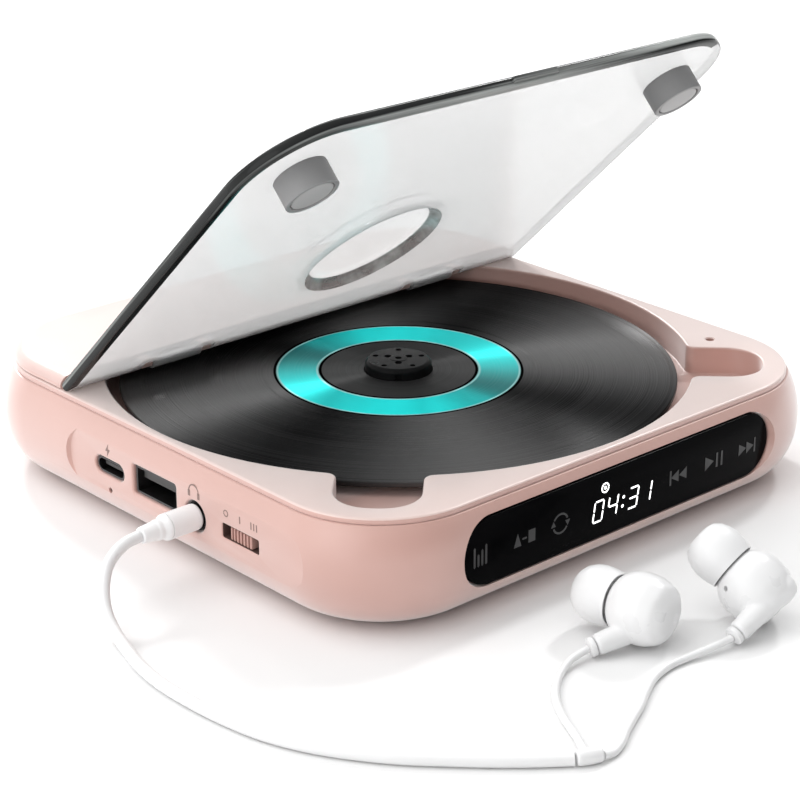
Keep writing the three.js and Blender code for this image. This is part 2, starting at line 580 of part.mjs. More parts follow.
// Each bud: housing centre, the way its nozzle points, where its stem starts and ends.
const BUDS = {
  left: {
    centre: [-23.9, -93.4, 7.1], aim: [-1.6, 9.85, 0], root: [-20.5, -97.6, 6.2], end: [-35.1, -91.7, 2.2],
  },
  right: {
    centre: [-2.1, -101.9, 7.6], aim: [-2, 8, 5], root: [1, -107.2, 8.6], end: [-12.9, -106.6, 2.1],
  },
};
const HOUSING = [[0, -6.8], [3.8, -6.6], [5.8, -5.2], [6.8, -2.4], [6.9, 0], [6.2, 2.6], [4.6, 4.4],
  [2.6, 5.2], [2.4, 8.2], [0, 8.2]];
const EAR_TIP = [[2.7, 5.9], [4.9, 5.6], [5.6, 7.2], [5.6, 9.2], [5, 11.5], [3.6, 13.1], [1.5, 13.5],
  [1.5, 8.5], [2.7, 8.5], [2.7, 5.9]];

Object.entries(BUDS).forEach(([side, { centre, aim, root, end }]) => {
  const at = new THREE.Vector3(...centre);
  const direction = new THREE.Vector3(...aim).normalize();
  const housing = toSolid(aimed(lathe(HOUSING, 14), at, direction));
  add(`earbud_${side}`, join(housing, rod(2.3, root, end, 12, 1.8)), WHITE);
  add(`ear_tip_${side}`, toSolid(aimed(lathe(EAR_TIP, 14), at, direction)), SILICONE);
});

export default player;
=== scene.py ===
"""A portable CD player with its lid open and its earphones plugged in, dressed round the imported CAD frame.
Sizes are millimetres in the frame's own axes: X along the display face, +Y to the hinge, z = 0 the table."""
import math

import bmesh
import bpy
from mathutils import Matrix, Vector


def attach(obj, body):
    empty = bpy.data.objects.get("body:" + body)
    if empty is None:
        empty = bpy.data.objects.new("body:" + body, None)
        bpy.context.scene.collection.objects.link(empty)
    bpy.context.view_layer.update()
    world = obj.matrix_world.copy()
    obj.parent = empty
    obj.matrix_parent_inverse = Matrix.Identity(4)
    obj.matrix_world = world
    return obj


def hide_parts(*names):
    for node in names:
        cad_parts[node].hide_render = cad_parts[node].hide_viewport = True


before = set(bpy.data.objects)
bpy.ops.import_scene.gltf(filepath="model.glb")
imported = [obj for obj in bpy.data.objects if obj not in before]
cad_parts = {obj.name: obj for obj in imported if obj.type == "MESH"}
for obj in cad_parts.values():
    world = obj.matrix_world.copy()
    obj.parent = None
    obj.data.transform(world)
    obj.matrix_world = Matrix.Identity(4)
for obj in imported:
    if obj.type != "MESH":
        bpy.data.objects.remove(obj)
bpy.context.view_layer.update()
MM = 0.001

# ---- sizes shared with the CAD ----
CASE_HALF, CASE_CORNER = 65.2, 22.0
CASE_BOTTOM, BELLY, SEAM, DECK_TOP = 0.8, 13.0, 22.8, 24.1
BULGE, SEAM_LIP, TUCK = 3.0, 0.5, 9.0
WELL_RADIUS, WELL_FLOOR = 63.1, 17.9
NOTCH_END, NOTCH_HALF, NOTCH_CORNER, NOTCH_MOUTH = 78.0, 8.4, 7.5, 2.2
DISC_OUTER, DISC_HOLE, DISC_BOTTOM, DISC_TOP = 60.0, 7.5, 20.0, 21.2
HUB_RADIUS, HUB_TOP = 7.2, 23.6
HINGE_Y, HINGE_Z, HINGE_X, KNUCKLE_HALF, EAR_WIDE = 31.1, 25.5, 37.0, 6.25, 2.5
LID_HALF, LID_LENGTH, LID_CORNER, LID_OPEN = 65.0, 97.1, 18.0, 44.0
POST_X, POST_Y, POST_RADIUS, POST_END = 50.2, 51.2, 5.6, -6.7
COVER_FRONT, COVER_BOTTOM, COVER_TOP = 32.7, 24.4, 27.1
WINDOW_HALF, WINDOW_LOW, WINDOW_HIGH, WINDOW_Y = 43.7, 6.6, 20.6, -66.9
WINDOW_CORNER = 6.98
PANEL_X, PORT_END = -67.4, -62.0
JACK_Y, JACK_Z = -15.6, 12.5
SWITCH_Y, SWITCH_Z, SWITCH_WIDE, SWITCH_TALL = -29.9, 12.7, 11.2, 3.1
LED_Y, LED_Z, LED_RADIUS, JACK_RADIUS = 13, 8.5, 0.6, 3.3
# the flat panel and openings of the left wall: centre (y, z), width, height and corner radius
WALL_PANEL = (-11, BELLY, 75.4, 15, 7.4)
USB_C_OPENING = (13, 13.4, 9.9, 3.8, 1.88)
USB_A_OPENING = (-2.3, 13.9, 14.3, 6.4, 0.6)
SWITCH_OPENING = (SWITCH_Y, SWITCH_Z, SWITCH_WIDE, SWITCH_TALL, 0.4)
FOOT_AT, SCREW_AT = 42, 50
LID_BEVEL, EDGE_BAND, DISH_REACH = 1.2, 1.3, 19
PIN_RADIUS, PIN_REACH = 0.8, 9.3
KNUCKLE_REACH = KNUCKLE_HALF + EAR_WIDE + 0.6
LID_PLACE = Matrix.Translation((0, HINGE_Y, HINGE_Z)) @ Matrix.Rotation(math.radians(-LID_OPEN), 4, "X")
SENSOR_PLACE = Matrix.Translation((57.5, -38.4, 0))
CLIP_ANGLES = (-132, -12, 108)


def in_scene(name, data):
    """A new object in the scene."""
    made = bpy.data.objects.new(name, data)
    bpy.context.scene.collection.objects.link(made)
    return made


# ---- camera ----
def make_camera():
    azimuth, elevation, roll = map(math.radians, (-41.819, 22.146, -0.211))
    right = Vector((math.cos(azimuth), math.sin(azimuth), 0))
    back = Vector((math.sin(azimuth) * math.cos(elevation), -math.cos(azimuth) * math.cos(elevation),
                   math.sin(elevation)))
    up = back.cross(right)
    across = right * math.cos(roll) + up * math.sin(roll)
    upward = up * math.cos(roll) - right * math.sin(roll)
    data = bpy.data.cameras.new("camera")
    data.lens, data.sensor_width = 104.9, 36.0
    camera = in_scene("camera", data)
    turn = Matrix((across, upward, back)).transposed().to_4x4()
    camera.matrix_world = Matrix.Translation((-0.3129, -0.3502, 0.2050)) @ turn
    bpy.context.scene.camera = camera


make_camera()


# ---- materials ----
def new_material(name):
    material = bpy.data.materials.new(name)
    material.use_nodes = True
    return material, material.node_tree, material.node_tree.nodes["Principled BSDF"]


def feed(made, inputs):
    """Fills a node's sockets: a result is linked, a plain value is written on the socket."""
    for key, value in inputs.items():
        if isinstance(value, bpy.types.NodeSocket):
            made.id_data.links.new(value, made.inputs[key])
        else:
            made.inputs[key].default_value = value


def node(tree, kind, inputs=None, **settings):
    made = tree.nodes.new(kind)
    for key, value in settings.items():
        setattr(made, key, value)
    feed(made, inputs or {})
    return made


def calc(tree, operation, first, second=0.0, **settings):
    """The result of one Math node."""
    return node(tree, "ShaderNodeMath", {0: first, 1: second}, operation=operation, **settings).outputs[0]


def coordinates(tree):
    return node(tree, "ShaderNodeTexCoord").outputs["Object"]


def noise(tree, scale, detail=3.0, vector=None):
    source = vector if vector is not None else coordinates(tree)
    inputs = {"Vector": source, "Scale": scale, "Detail": detail}
    return node(tree, "ShaderNodeTexNoise", inputs).outputs["Fac"]


def spread(tree, value, low, high, start=0.3, end=0.7):
    inputs = {0: value, 1: start, 2: end, 3: low, 4: high}
    return node(tree, "ShaderNodeMapRange", inputs).outputs["Result"]


def blend_colours(tree, factor, first, second):
    mix = node(tree, "ShaderNodeMix", {"Factor": factor}, data_type="RGBA")
    for key, value in (("A", first), ("B", second)):
        socket = next(s for s in mix.inputs if s.name == key and s.type == "RGBA")
        if isinstance(value, bpy.types.NodeSocket):
            tree.links.new(value, socket)
        else:
            socket.default_value = (*value, 1)
    return next(s for s in mix.outputs if s.type == "RGBA")


def bump(tree, shader, height, strength, distance):
    made = node(tree, "ShaderNodeBump", {"Height": height, "Strength": strength, "Distance": distance})
    tree.links.new(made.outputs["Normal"], shader.inputs["Normal"])


def moulded(name, colour, roughness, grain=5400.0, depth=0.00002, specular=0.5, coat=0.0, tint=0.94,
            sheen=0.0):
    """Moulded plastic or rubber: a faint cloud in its colour, uneven gloss and a fine grain."""
    material, tree, shader = new_material(name)
    darker = tuple(c * tint for c in colour)
    cloud = spread(tree, noise(tree, 45.0), 0.0, 1.0)
    feed(shader, {
        "Base Color": blend_colours(tree, cloud, darker, colour),
        "Roughness": spread(tree, noise(tree, 160.0), roughness * 0.88, roughness * 1.12),
        "Specular IOR Level": specular, "Coat Weight": coat, "Coat Roughness": 0.12,
        "Sheen Weight": sheen, "Sheen Roughness": 0.5})
    bump(tree, shader, noise(tree, grain, 2.0), 0.35, depth)
    return material


def metal(name, colour, roughness):
    material, tree, shader = new_material(name)
    uneven = spread(tree, noise(tree, 700.0), roughness * 0.75, roughness * 1.3)
    feed(shader, {"Base Color": (*colour, 1), "Metallic": 1.0, "Roughness": uneven})
    bump(tree, shader, noise(tree, 2600.0), 0.2, 0.00002)
    return material


def lit(name, colour, strength):
    """A mark that gives off light of its own."""
    material, tree, shader = new_material(name)
    feed(shader, {"Base Color": (*colour, 1), "Emission Color": (*colour, 1), "Emission Strength": strength,
                  "Roughness": spread(tree, noise(tree, 500.0), 0.35, 0.5)})
    return material


def radius_of(tree):
    """Distance from the spindle axis, in metres."""
    flat = node(tree, "ShaderNodeVectorMath", {0: coordinates(tree), 1: (1, 1, 0)}, operation="MULTIPLY")
    return node(tree, "ShaderNodeVectorMath", {0: flat.outputs[0]}, operation="LENGTH").outputs["Value"]


def band(tree, radius, inner, outer, edge=0.00012):
    """1 between two radii and 0 elsewhere, with a narrow soft edge."""
    rise = spread(tree, radius, 0.0, 1.0, inner - edge, inner + edge)
    fall = spread(tree, radius, 1.0, 0.0, outer - edge, outer + edge)
    return calc(tree, "MULTIPLY", rise, fall)


def lobes(tree, count, start):
    """0 to 1 and back a number of times round the spindle axis, 0 at the starting angle in degrees."""
    parts = node(tree, "ShaderNodeSeparateXYZ", {0: coordinates(tree)}).outputs
    turned = calc(tree, "SUBTRACT", calc(tree, "ARCTAN2", parts["Y"], parts["X"]), math.radians(start))
    return spread(tree, calc(tree, "COSINE", calc(tree, "MULTIPLY", turned, count)), 0.0, 1.0, 1.0, -1.0)


def disc_material():
    """Black record-look disc with fine grooves: its four paler fans are painted highlights in its colour and
    gloss, and its turquoise ring between lines has painted shade at its sides.
    """
    material, tree, shader = new_material("grooved_disc")
    radius = radius_of(tree)
    line_in, rim_in, ring_in, ring_out, rim_out, line_out = 0.0167, 0.0173, 0.0178, 0.0260, 0.0264, 0.0270
    groove_in, groove_out, past_rim = 0.0295, 0.0588, 0.0620
    playing = band(tree, radius, groove_in, groove_out, 0.0003)
    ring = band(tree, radius, ring_in, ring_out)
    rim = band(tree, radius, rim_in, rim_out)
    lines = calc(tree, "ADD", band(tree, radius, line_in, rim_in), band(tree, radius, rim_out, line_out))
    along = node(tree, "ShaderNodeCombineXYZ", {"X": radius}).outputs[0]
    fine = noise(tree, 2600.0, 2.0, along)
    broad = noise(tree, 260.0, 2.0, along)
    # painted highlights: four fans and two broader lobes round the axis, fixed to the disc, lighten its
    # black and darken the ring's sides as painted shade
    fans = lobes(tree, 4, 20.0)
    outside = band(tree, radius, rim_out, past_rim)
    fan_highlight = node(tree, "ShaderNodeMix", {"Factor": outside, "A": 0.4, "B": fans}).outputs["Result"]
    shade = spread(tree, calc(tree, "ADD", fans, lobes(tree, 2, 115.0)), 0.0, 1.0, 0.0, 1.5)
    teal = blend_colours(tree, shade, (0.0, 0.22, 0.22), (0.01, 0.97, 0.95))
    dull = blend_colours(tree, spread(tree, broad, 0.0, 1.0), (0.002, 0.002, 0.0024), (0.014, 0.014, 0.0145))
    fan_lit_colour = blend_colours(tree, calc(tree, "POWER", fan_highlight, 2.0), dull, (0.095, 0.095, 0.095))
    black = blend_colours(tree, lines, fan_lit_colour, (0.001, 0.001, 0.001))
    edged = blend_colours(tree, rim, black, (0.35, 0.75, 0.74))
    # the gloss follows the painted fan highlights
    gloss = spread(tree, fan_highlight, 0.03, 0.55, 0.0, 1.0)
    feed(shader, {
        "Base Color": blend_colours(tree, ring, edged, teal),
        "Metallic": calc(tree, "MULTIPLY", rim, 0.9),
        "Roughness": spread(tree, fine, 0.29, 0.42),
        "Specular IOR Level": calc(tree, "SUBTRACT", gloss, lines, use_clamp=True),
        "IOR": 1.34, "Anisotropic": 1.0, "Anisotropic Rotation": 0.25,
        "Tangent": node(tree, "ShaderNodeTangent", direction_type="RADIAL", axis="Z").outputs[0]})
    grooves = calc(tree, "MULTIPLY", calc(tree, "ADD", fine, broad), playing)
    bump(tree, shader, grooves, 0.8, 0.0002)
    return material


def lid_material():
    """Clear smoky plastic, faintly milky: light soaks through it and what is behind shows only softly."""
    material, tree, shader = new_material("smoky_clear")
    cloud = spread(tree, noise(tree, 14.0, 2.0), 0.0, 1.0)
    feed(shader, {
        "Base Color": blend_colours(tree, cloud, (0.37, 0.375, 0.375), (0.405, 0.405, 0.403)),
        "Roughness": spread(tree, noise(tree, 240.0), 0.10, 0.14),
        "Subsurface Weight": 1.0, "Subsurface Radius": (1.0, 1.0, 1.0), "Subsurface Scale": 0.03,
        "Alpha": 0.64, "IOR": 1.45, "Specular IOR Level": 0.12})
    return material


def lid_edge_material():
    """The lid's cut edge and a band under it: painted shade as dark glassy plastic, with pale streaks
    running along it as painted highlights.
    """
    material, tree, shader = new_material("painted_shade_edge")
    lengthwise, across = 0.12, 0.0016
    local = node(tree, "ShaderNodeMapping", {
        "Vector": coordinates(tree), "Rotation": (math.radians(-LID_OPEN), 0, 0),
        "Scale": (lengthwise, lengthwise, across)}, vector_type="TEXTURE").outputs[0]
    # painted highlights: pale streaks running along the edge
    streak = spread(tree, noise(tree, 1.0, 4.0, local), 0.0, 1.0, 0.5, 0.7)
    feed(shader, {
        "Base Color": blend_colours(tree, streak, (0.01, 0.011, 0.011), (0.42, 0.44, 0.43)),
        "Roughness": spread(tree, noise(tree, 300.0), 0.12, 0.25), "IOR": 1.3})
    return material


def dish_wall_material():
    """The sloping wall of the lid's dish, where the clear plastic looks thicker and greener: painted shade
    in dark and pale green patches.
    """
    material, tree, shader = new_material("painted_dish_wall_shade")
    cloud = spread(tree, noise(tree, 110.0, 4.0), 0.0, 1.0, 0.4, 0.62)
    feed(shader, {
        "Base Color": blend_colours(tree, cloud, (0.12, 0.13, 0.13), (0.55, 0.60, 0.59)),
        "Roughness": spread(tree, noise(tree, 300.0), 0.08, 0.16), "Alpha": 0.7})
    return material


def floor_material():
    material, tree, shader = new_material("pale_floor")
    cloud = spread(tree, noise(tree, 3.0), 0.0, 1.0)
    feed(shader, {"Base Color": blend_colours(tree, cloud, (0.83, 0.83, 0.83), (0.85, 0.85, 0.85)),
                  "Roughness": 0.9, "Specular IOR Level": 0.1})
    return material


PINK = moulded("satin_pink", (0.575, 0.33, 0.28), 0.36, specular=1.0, sheen=1.0, tint=0.97)
# painted light: the cover and deck tops get paler copies of the case's pink, as lit tops
COVER_PINK_LIT = moulded("painted_lit_cover_pink", (0.61, 0.42, 0.38), 0.36, specular=0.8, sheen=0.7, tint=0.97)
DECK_PINK_LIT = moulded("painted_lit_deck_pink", (0.69, 0.52, 0.475), 0.36, specular=1.0, sheen=1.0, tint=0.97)
KNOB_PINK = moulded("knob_pink", (0.48, 0.27, 0.23), 0.45)
BLACK_GLOSS = moulded("gloss_black", (0.008, 0.008, 0.0085), 0.3, specular=0.08)
BLACK_MATT = moulded("matt_black", (0.02, 0.02, 0.021), 0.55)
WINDOW_BLACK = moulded("window_black", (0.002, 0.002, 0.0024), 0.14, specular=0.015)
GREY_POST = moulded("grey_post", (0.27, 0.27, 0.272), 0.45)
GREY_CAP = moulded("grey_cap", (0.42, 0.42, 0.422), 0.5)
WHITE_GLOSS = moulded("white_gloss", (0.79, 0.79, 0.793), 0.3, tint=0.98)
# painted light: a brighter copy of the white plastic for the plug, against the shade it lies in
WHITE_PLUG_LIT = moulded("painted_lit_plug_white", (0.90, 0.90, 0.903), 0.35, tint=0.98)
WHITE_CABLE = moulded("white_cable", (0.82, 0.82, 0.823), 0.4, tint=0.97)
SILICONE = moulded("white_silicone", (0.80, 0.80, 0.803), 0.42, tint=0.97)
RUBBER = moulded("dark_rubber", (0.03, 0.03, 0.031), 0.8, depth=0.00005)
BOARD_GREEN = moulded("solder_mask", (0.012, 0.11, 0.045), 0.35, grain=3000.0, coat=0.3)
CELL_WRAP = moulded("cell_wrap", (0.42, 0.44, 0.46), 0.35)
PALE_BLOCK = moulded("pale_block", (0.75, 0.75, 0.73), 0.5)
PRINT_GREY = moulded("print_grey", (0.25, 0.17, 0.15), 0.6)
# painted shade: the dark lining of the switch slot
SLOT_PAINTED_SHADE = moulded("painted_slot_shade", (0.10, 0.055, 0.045), 0.6)
ICON_GREY = lit("icon_grey", (0.022, 0.022, 0.023), 0.12)
DIGIT_WHITE = lit("digit_white", (1.0, 1.0, 1.0), 1.6)
LIGHT_PIPE = moulded("light_pipe", (0.03, 0.028, 0.026), 0.2, coat=0.4)
STEEL = metal("plain_steel", (0.62, 0.63, 0.65), 0.28)
DARK_STEEL = metal("dark_steel", (0.10, 0.098, 0.10), 0.4)
TONGUE = moulded("tongue_grey", (0.04, 0.039, 0.039), 0.35)
OPTIC = moulded("coated_optic", (0.10, 0.16, 0.30), 0.05, coat=1.0)
DISC_FACE = disc_material()
SMOKY = lid_material()
EDGE_PAINTED_SHADE = lid_edge_material()
DISH_WALL_PAINTED_SHADE = dish_wall_material()


# ---- mesh helpers ----
def put(name, points, faces, material, body, slot, replaces=(), place=None, sharp=35.0):
    """A new piece from points in millimetres and faces, riding on a body."""
    mesh = bpy.data.meshes.new(name)
    matrix = place or Matrix.Identity(4)
    mesh.from_pydata([tuple((matrix @ Vector(p)) * MM) for p in points], [], faces)
    mesh.validate()
    made = in_scene(name, mesh)
    finish_mesh(made, sharp)
    made.data.materials.append(material)
    if body:
        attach(made, body)
        if replaces:
            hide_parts(*replaces)
    return made


def finish_mesh(made, sharp=35.0):
    """Faces out, smooth except at edges sharper than an angle."""
    work = bmesh.new()
    work.from_mesh(made.data)
    bmesh.ops.remove_doubles(work, verts=work.verts, dist=1e-7)
    bmesh.ops.recalc_face_normals(work, faces=work.faces)
    work.to_mesh(made.data)
    work.free()
    made.data.polygons.foreach_set("use_smooth", [True] * len(made.data.polygons))
    made.data.set_sharp_from_angle(angle=math.radians(sharp))


def stack(rings, caps=True):
    """Points and faces of equal closed rings joined in order, with a flat cap at each end."""
    count = len(rings[0])
    points = [p for ring in rings for p in ring]
    faces = []
    for level in range(len(rings) - 1):
        for i in range(count):
            a, b = level * count + i, level * count + (i + 1) % count
            faces.append((a, b, b + count, a + count))
    if caps:
        faces.append(tuple(reversed(range(count))))
        faces.append(tuple(range((len(rings) - 1) * count, len(rings) * count)))
    return points, faces


def closed_stack(rings):
    """The same, with the last ring joined back to the first."""
    points, faces = stack(rings, caps=False)
    count, last = len(rings[0]), (len(rings) - 1) * len(rings[0])
    faces += [(last + i, last + (i + 1) % count, (i + 1) % count, i) for i in range(count)]
    return points, faces


def polar(radius, degrees, x=0.0, y=0.0):
    """The point at a radius and an angle from a centre."""
    angle = math.radians(degrees)
    return x + radius * math.cos(angle), y + radius * math.sin(angle)


def circle(x, y, radius, count):
    return [polar(radius, 360 * i / count, x, y) for i in range(count)]


def arcs(corners, grow, steps):
    """An outline of arcs (x, y, radius, from, to in degrees) joined by straight lines, grown outwards."""
    points = []
    for x, y, radius, start, end in corners:
        reach = radius + grow if end > start else radius - grow
        points += [polar(reach, start + (end - start) * i / steps, x, y) for i in range(steps + 1)]
    return points


def rounded(x0, x1, y0, y1, radius):
    return [(x1 - radius, y1 - radius, radius, 0, 90), (x0 + radius, y1 - radius, radius, 90, 180),
            (x0 + radius, y0 + radius, radius, 180, 270), (x1 - radius, y0 + radius, radius, 270, 360)]


def centred(x, y, width, height, radius):
    return rounded(x - width / 2, x + width / 2, y - height / 2, y + height / 2, radius)


def level(outline, z):
    return [(x, y, z) for x, y in outline]


def on_side(outline, x):
    """A (y, z) outline put on a plane of constant x."""
    return [(x, y, z) for y, z in outline]


def on_front(outline, y):
    """An (x, z) outline put on a plane of constant y."""
    return [(x, y, z) for x, z in outline]


def lathed(profile, sides=64):
    """Points and faces of a profile of (radius, height) turned about Z, its ends on the axis or joined."""
    ring = [(math.cos(2 * math.pi * i / sides), math.sin(2 * math.pi * i / sides)) for i in range(sides)]
    rings = [[(r * x, r * y, z) for x, y in ring] for r, z in profile if r > 0]
    if profile[0][0] > 0:
        return closed_stack(rings)
    return stack(rings)


def cylinder(radius, low, high, sides):
    return lathed([(0, low), (radius, low), (radius, high), (0, high)], sides)


def eased(profile, radius):
    """A (radius, height) profile with its inner corners rounded off."""
    steps = 4
    points = [profile[0]]
    for before, here, after in zip(profile, profile[1:], profile[2:]):
        a, b, c = Vector(before), Vector(here), Vector(after)
        reach = min(radius, (a - b).length * 0.45, (c - b).length * 0.45)
        start, end = b + (a - b).normalized() * reach, b + (c - b).normalized() * reach
        for i in range(steps + 1):
            t = i / steps
            points.append(tuple(start * (1 - t) ** 2 + b * 2 * t * (1 - t) + end * t * t))
    points.append(profile[-1])
    return points


def aim(origin, direction):
    """A matrix that takes +Z to a direction, at an origin."""
    turn = Vector((0, 0, 1)).rotation_difference(Vector(direction)).to_matrix().to_4x4()
    return Matrix.Translation(origin) @ turn


def block(x0, x1, y0, y1, z0, z1):
    return stack([level([(x0, y0), (x1, y0), (x1, y1), (x0, y1)], z) for z in (z0, z1)])


def tool(points_faces, place=None):
    """A throwaway solid to cut or join with."""
    points, faces = points_faces
    return put("tool", points, faces, PINK, None, None, place=place)


def shape_with(target, operation, tools):
    """Cuts target with, or joins to it, each tool in turn."""
    for other in tools:
        modifier = target.modifiers.new("carve", "BOOLEAN")
        modifier.operation, modifier.solver, modifier.object = operation, "EXACT", other
        evaluated = target.evaluated_get(bpy.context.evaluated_depsgraph_get())
        mesh = bpy.data.meshes.new_from_object(evaluated)
        target.modifiers.clear()
        old = target.data
        mesh.name = target.name
        target.data = mesh
        bpy.data.meshes.remove(old)
        spent = other.data
        bpy.data.objects.remove(other)
        bpy.data.meshes.remove(spent)
    finish_mesh(target)
    while len(target.data.materials) > 1:
        target.data.materials.pop()
    target.data.polygons.foreach_set("material_index", [0] * len(target.data.polygons))
    return target


def cut(target, *tools):
    return shape_with(target, "DIFFERENCE", tools)


def fuse(target, *tools):
    return shape_with(target, "UNION", tools)


# ---- cords ----
MAIN_ROUTE = [(-80.8, -15.6, 12.5), (-84.5, -15.8, 12), (-88.8, -17, 10.2), (-92.1, -19.6, 7.4),
              (-94.5, -23.4, 4.4), (-96, -28.4, 2.1), (-97.4, -33.8, 1.3), (-99.3, -40.5, 1.3),
              (-100.4, -48, 1.3), (-100.5, -56, 1.3), (-99.8, -65, 1.3), (-98.2, -74, 1.3),
              (-95.4, -81.5, 1.3), (-91.8, -88, 1.3), (-86.3, -95.6, 1.3), (-80, -102.3, 1.3),
              (-74.2, -108, 1.3), (-69.3, -112.3, 1.3), (-64.5, -116.1, 1.3)]
LEFT_ROUTE = [(-61, -116, 1), (-60.2, -114, 0.9), (-58.4, -110.8, 0.9), (-55.4, -104.8, 0.9),
              (-52.3, -100, 0.9), (-48.6, -96.2, 0.9), (-44.4, -93.3, 1), (-40.3, -91.8, 1.6),
              (-35.8, -91.6, 2.1)]
RIGHT_ROUTE = [(-59.8, -118.5, 1.2), (-57.6, -118.6, 0.9), (-54.4, -117.5, 0.9), (-50.6, -115.2, 0.9),
               (-46.8, -113.2, 0.9), (-42.8, -111.2, 0.9), (-38.6, -108.6, 0.9), (-33.2, -105.8, 0.9),
               (-27.8, -104.5, 0.9), (-22.6, -104.8, 1), (-17.6, -105.9, 1.6), (-13.2, -106.6, 2.1)]
CABLES = [("cord_main", MAIN_ROUTE, 2.4, "main_cable"), ("cord_left", LEFT_ROUTE, 1.5, "cable_left"),
          ("cord_right", RIGHT_ROUTE, 1.5, "cable_right")]


def smooth_route(route):
    """The centripetal Catmull-Rom curve through a route, in metres."""
    per_span = 6
    points = [Vector(p) * MM for p in route]
    points = [points[0] * 2 - points[1], *points, points[-1] * 2 - points[-2]]
    line = []
    for p0, p1, p2, p3 in zip(points, points[1:], points[2:], points[3:]):
        d0, d1, d2 = (max((b - a).length, 1e-9) ** 0.5 for a, b in ((p0, p1), (p1, p2), (p2, p3)))
        out = ((p1 - p0) / d0 - (p2 - p0) / (d0 + d1) + (p2 - p1) / d1) * d1
        into = ((p2 - p1) / d1 - (p3 - p1) / (d1 + d2) + (p3 - p2) / d2) * d1
        for i in range(per_span):
            t = i / per_span
            line.append(p1 * (2 * t**3 - 3 * t**2 + 1) + out * (t**3 - 2 * t**2 + t)
                        + p2 * (3 * t**2 - 2 * t**3) + into * (t**3 - t**2))
    line.append(points[-2])
    return line


def make_cable(name, route, diameter, cad_node):
    line = smooth_route(route)
    data = bpy.data.curves.new(name, "CURVE")
    data.dimensions = "3D"
    data.bevel_depth = diameter * MM / 2
    data.bevel_resolution = 6
    data.use_fill_caps = True
    spline = data.splines.new("POLY")
    spline.points.add(len(line) - 1)
    for point, place in zip(spline.points, line):
        point.co = (*place, 1)
    spline.use_smooth = True
    made = in_scene(name, data)
    data.materials.append(WHITE_CABLE)
    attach(made, "earphones")
    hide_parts(cad_node)
    return made, sum((b - a).length for a, b in zip(line, line[1:]))


cables = {name: make_cable(name, *rest) for name, *rest in CABLES}


# ---- earphones ----
PLUG_PLACE = aim((-67.2, JACK_Y, JACK_Z), (-1, 0, 0))


def make_plug():
    barrel = eased([(0, 0), (2.55, 0), (2.7, 0.5), (2.7, 7.6), (2.15, 8.6), (2.1, 8.8), (2.1, 9.6),
                    (1.95, 9.9), (1.62, 13.3), (0, 13.3)], 0.3)
    groove = lathed([(2.45, 7.0), (2.8, 7.0), (2.8, 7.25), (2.45, 7.25)])
    shell = put("plug_shell", *lathed(barrel, 48), WHITE_PLUG_LIT, "earphones", "white_plastic", ("plug_body",),
                PLUG_PLACE)
    cut(shell, tool(groove, PLUG_PLACE))


def make_splitter():
    profile = eased([(0, 0), (1.25, 0), (1.45, 0.5), (1.5, 2.6), (1.3, 4.4), (1.1, 4.7), (0, 4.7)], 0.4)
    start, end = Vector((-64.2, -116.3, 1.5)), Vector((-60.1, -118.4, 1.5))
    put("splitter_sleeve", *lathed(profile, 40), WHITE_GLOSS, "earphones", "white_plastic",
        ("cable_splitter",), aim(start, (end - start).normalized()))


BUDS = {
    "left": ((-23.9, -93.4, 7.1), (-1.6, 9.85, 0), (-20.5, -97.6, 6.2), (-35.5, -91.6, 2.1)),
    "right": ((-2.1, -101.9, 7.6), (-2, 8, 5), (1, -107.2, 8.6), (-12.9, -106.6, 2.1)),
}
HOUSING = [(0, -6.8), (3.6, -6.7), (5.6, -5.5), (6.7, -2.8), (6.9, -0.6), (6.8, 1.0), (6.3, 2.6), (5.5, 3.9),
           (4.5, 4.8), (3.2, 5.4), (2.4, 5.6), (2.4, 8.2), (0, 8.2)]
TIP_OUTSIDE = [(1.6, 13.4), (2.5, 13.55), (3.7, 13.1), (4.7, 12.0), (5.35, 10.5), (5.6, 8.9), (5.55, 7.3),
               (5.3, 6.1), (5.1, 5.0)]
TIP_INSIDE = [(4.85, 5.05), (4.6, 6.4), (4.0, 6.8), (3.2, 6.6), (2.9, 6.0), (2.7, 6.0), (2.7, 8.5),
              (1.6, 8.6)]
VENT_TURN = {"left": 20.0, "right": 100.0}


def melt(made, voxel, rounds):
    """Melts a piece's overlapping parts into one smooth skin."""
    remesh = made.modifiers.new("melt", "REMESH")
    remesh.mode, remesh.voxel_size = "VOXEL", voxel * MM
    smooth = made.modifiers.new("smooth", "SMOOTH")
    smooth.factor, smooth.iterations = 0.5, rounds
    evaluated = made.evaluated_get(bpy.context.evaluated_depsgraph_get())
    mesh = bpy.data.meshes.new_from_object(evaluated)
    made.modifiers.clear()
    made.data = mesh
    finish_mesh(made, 60)


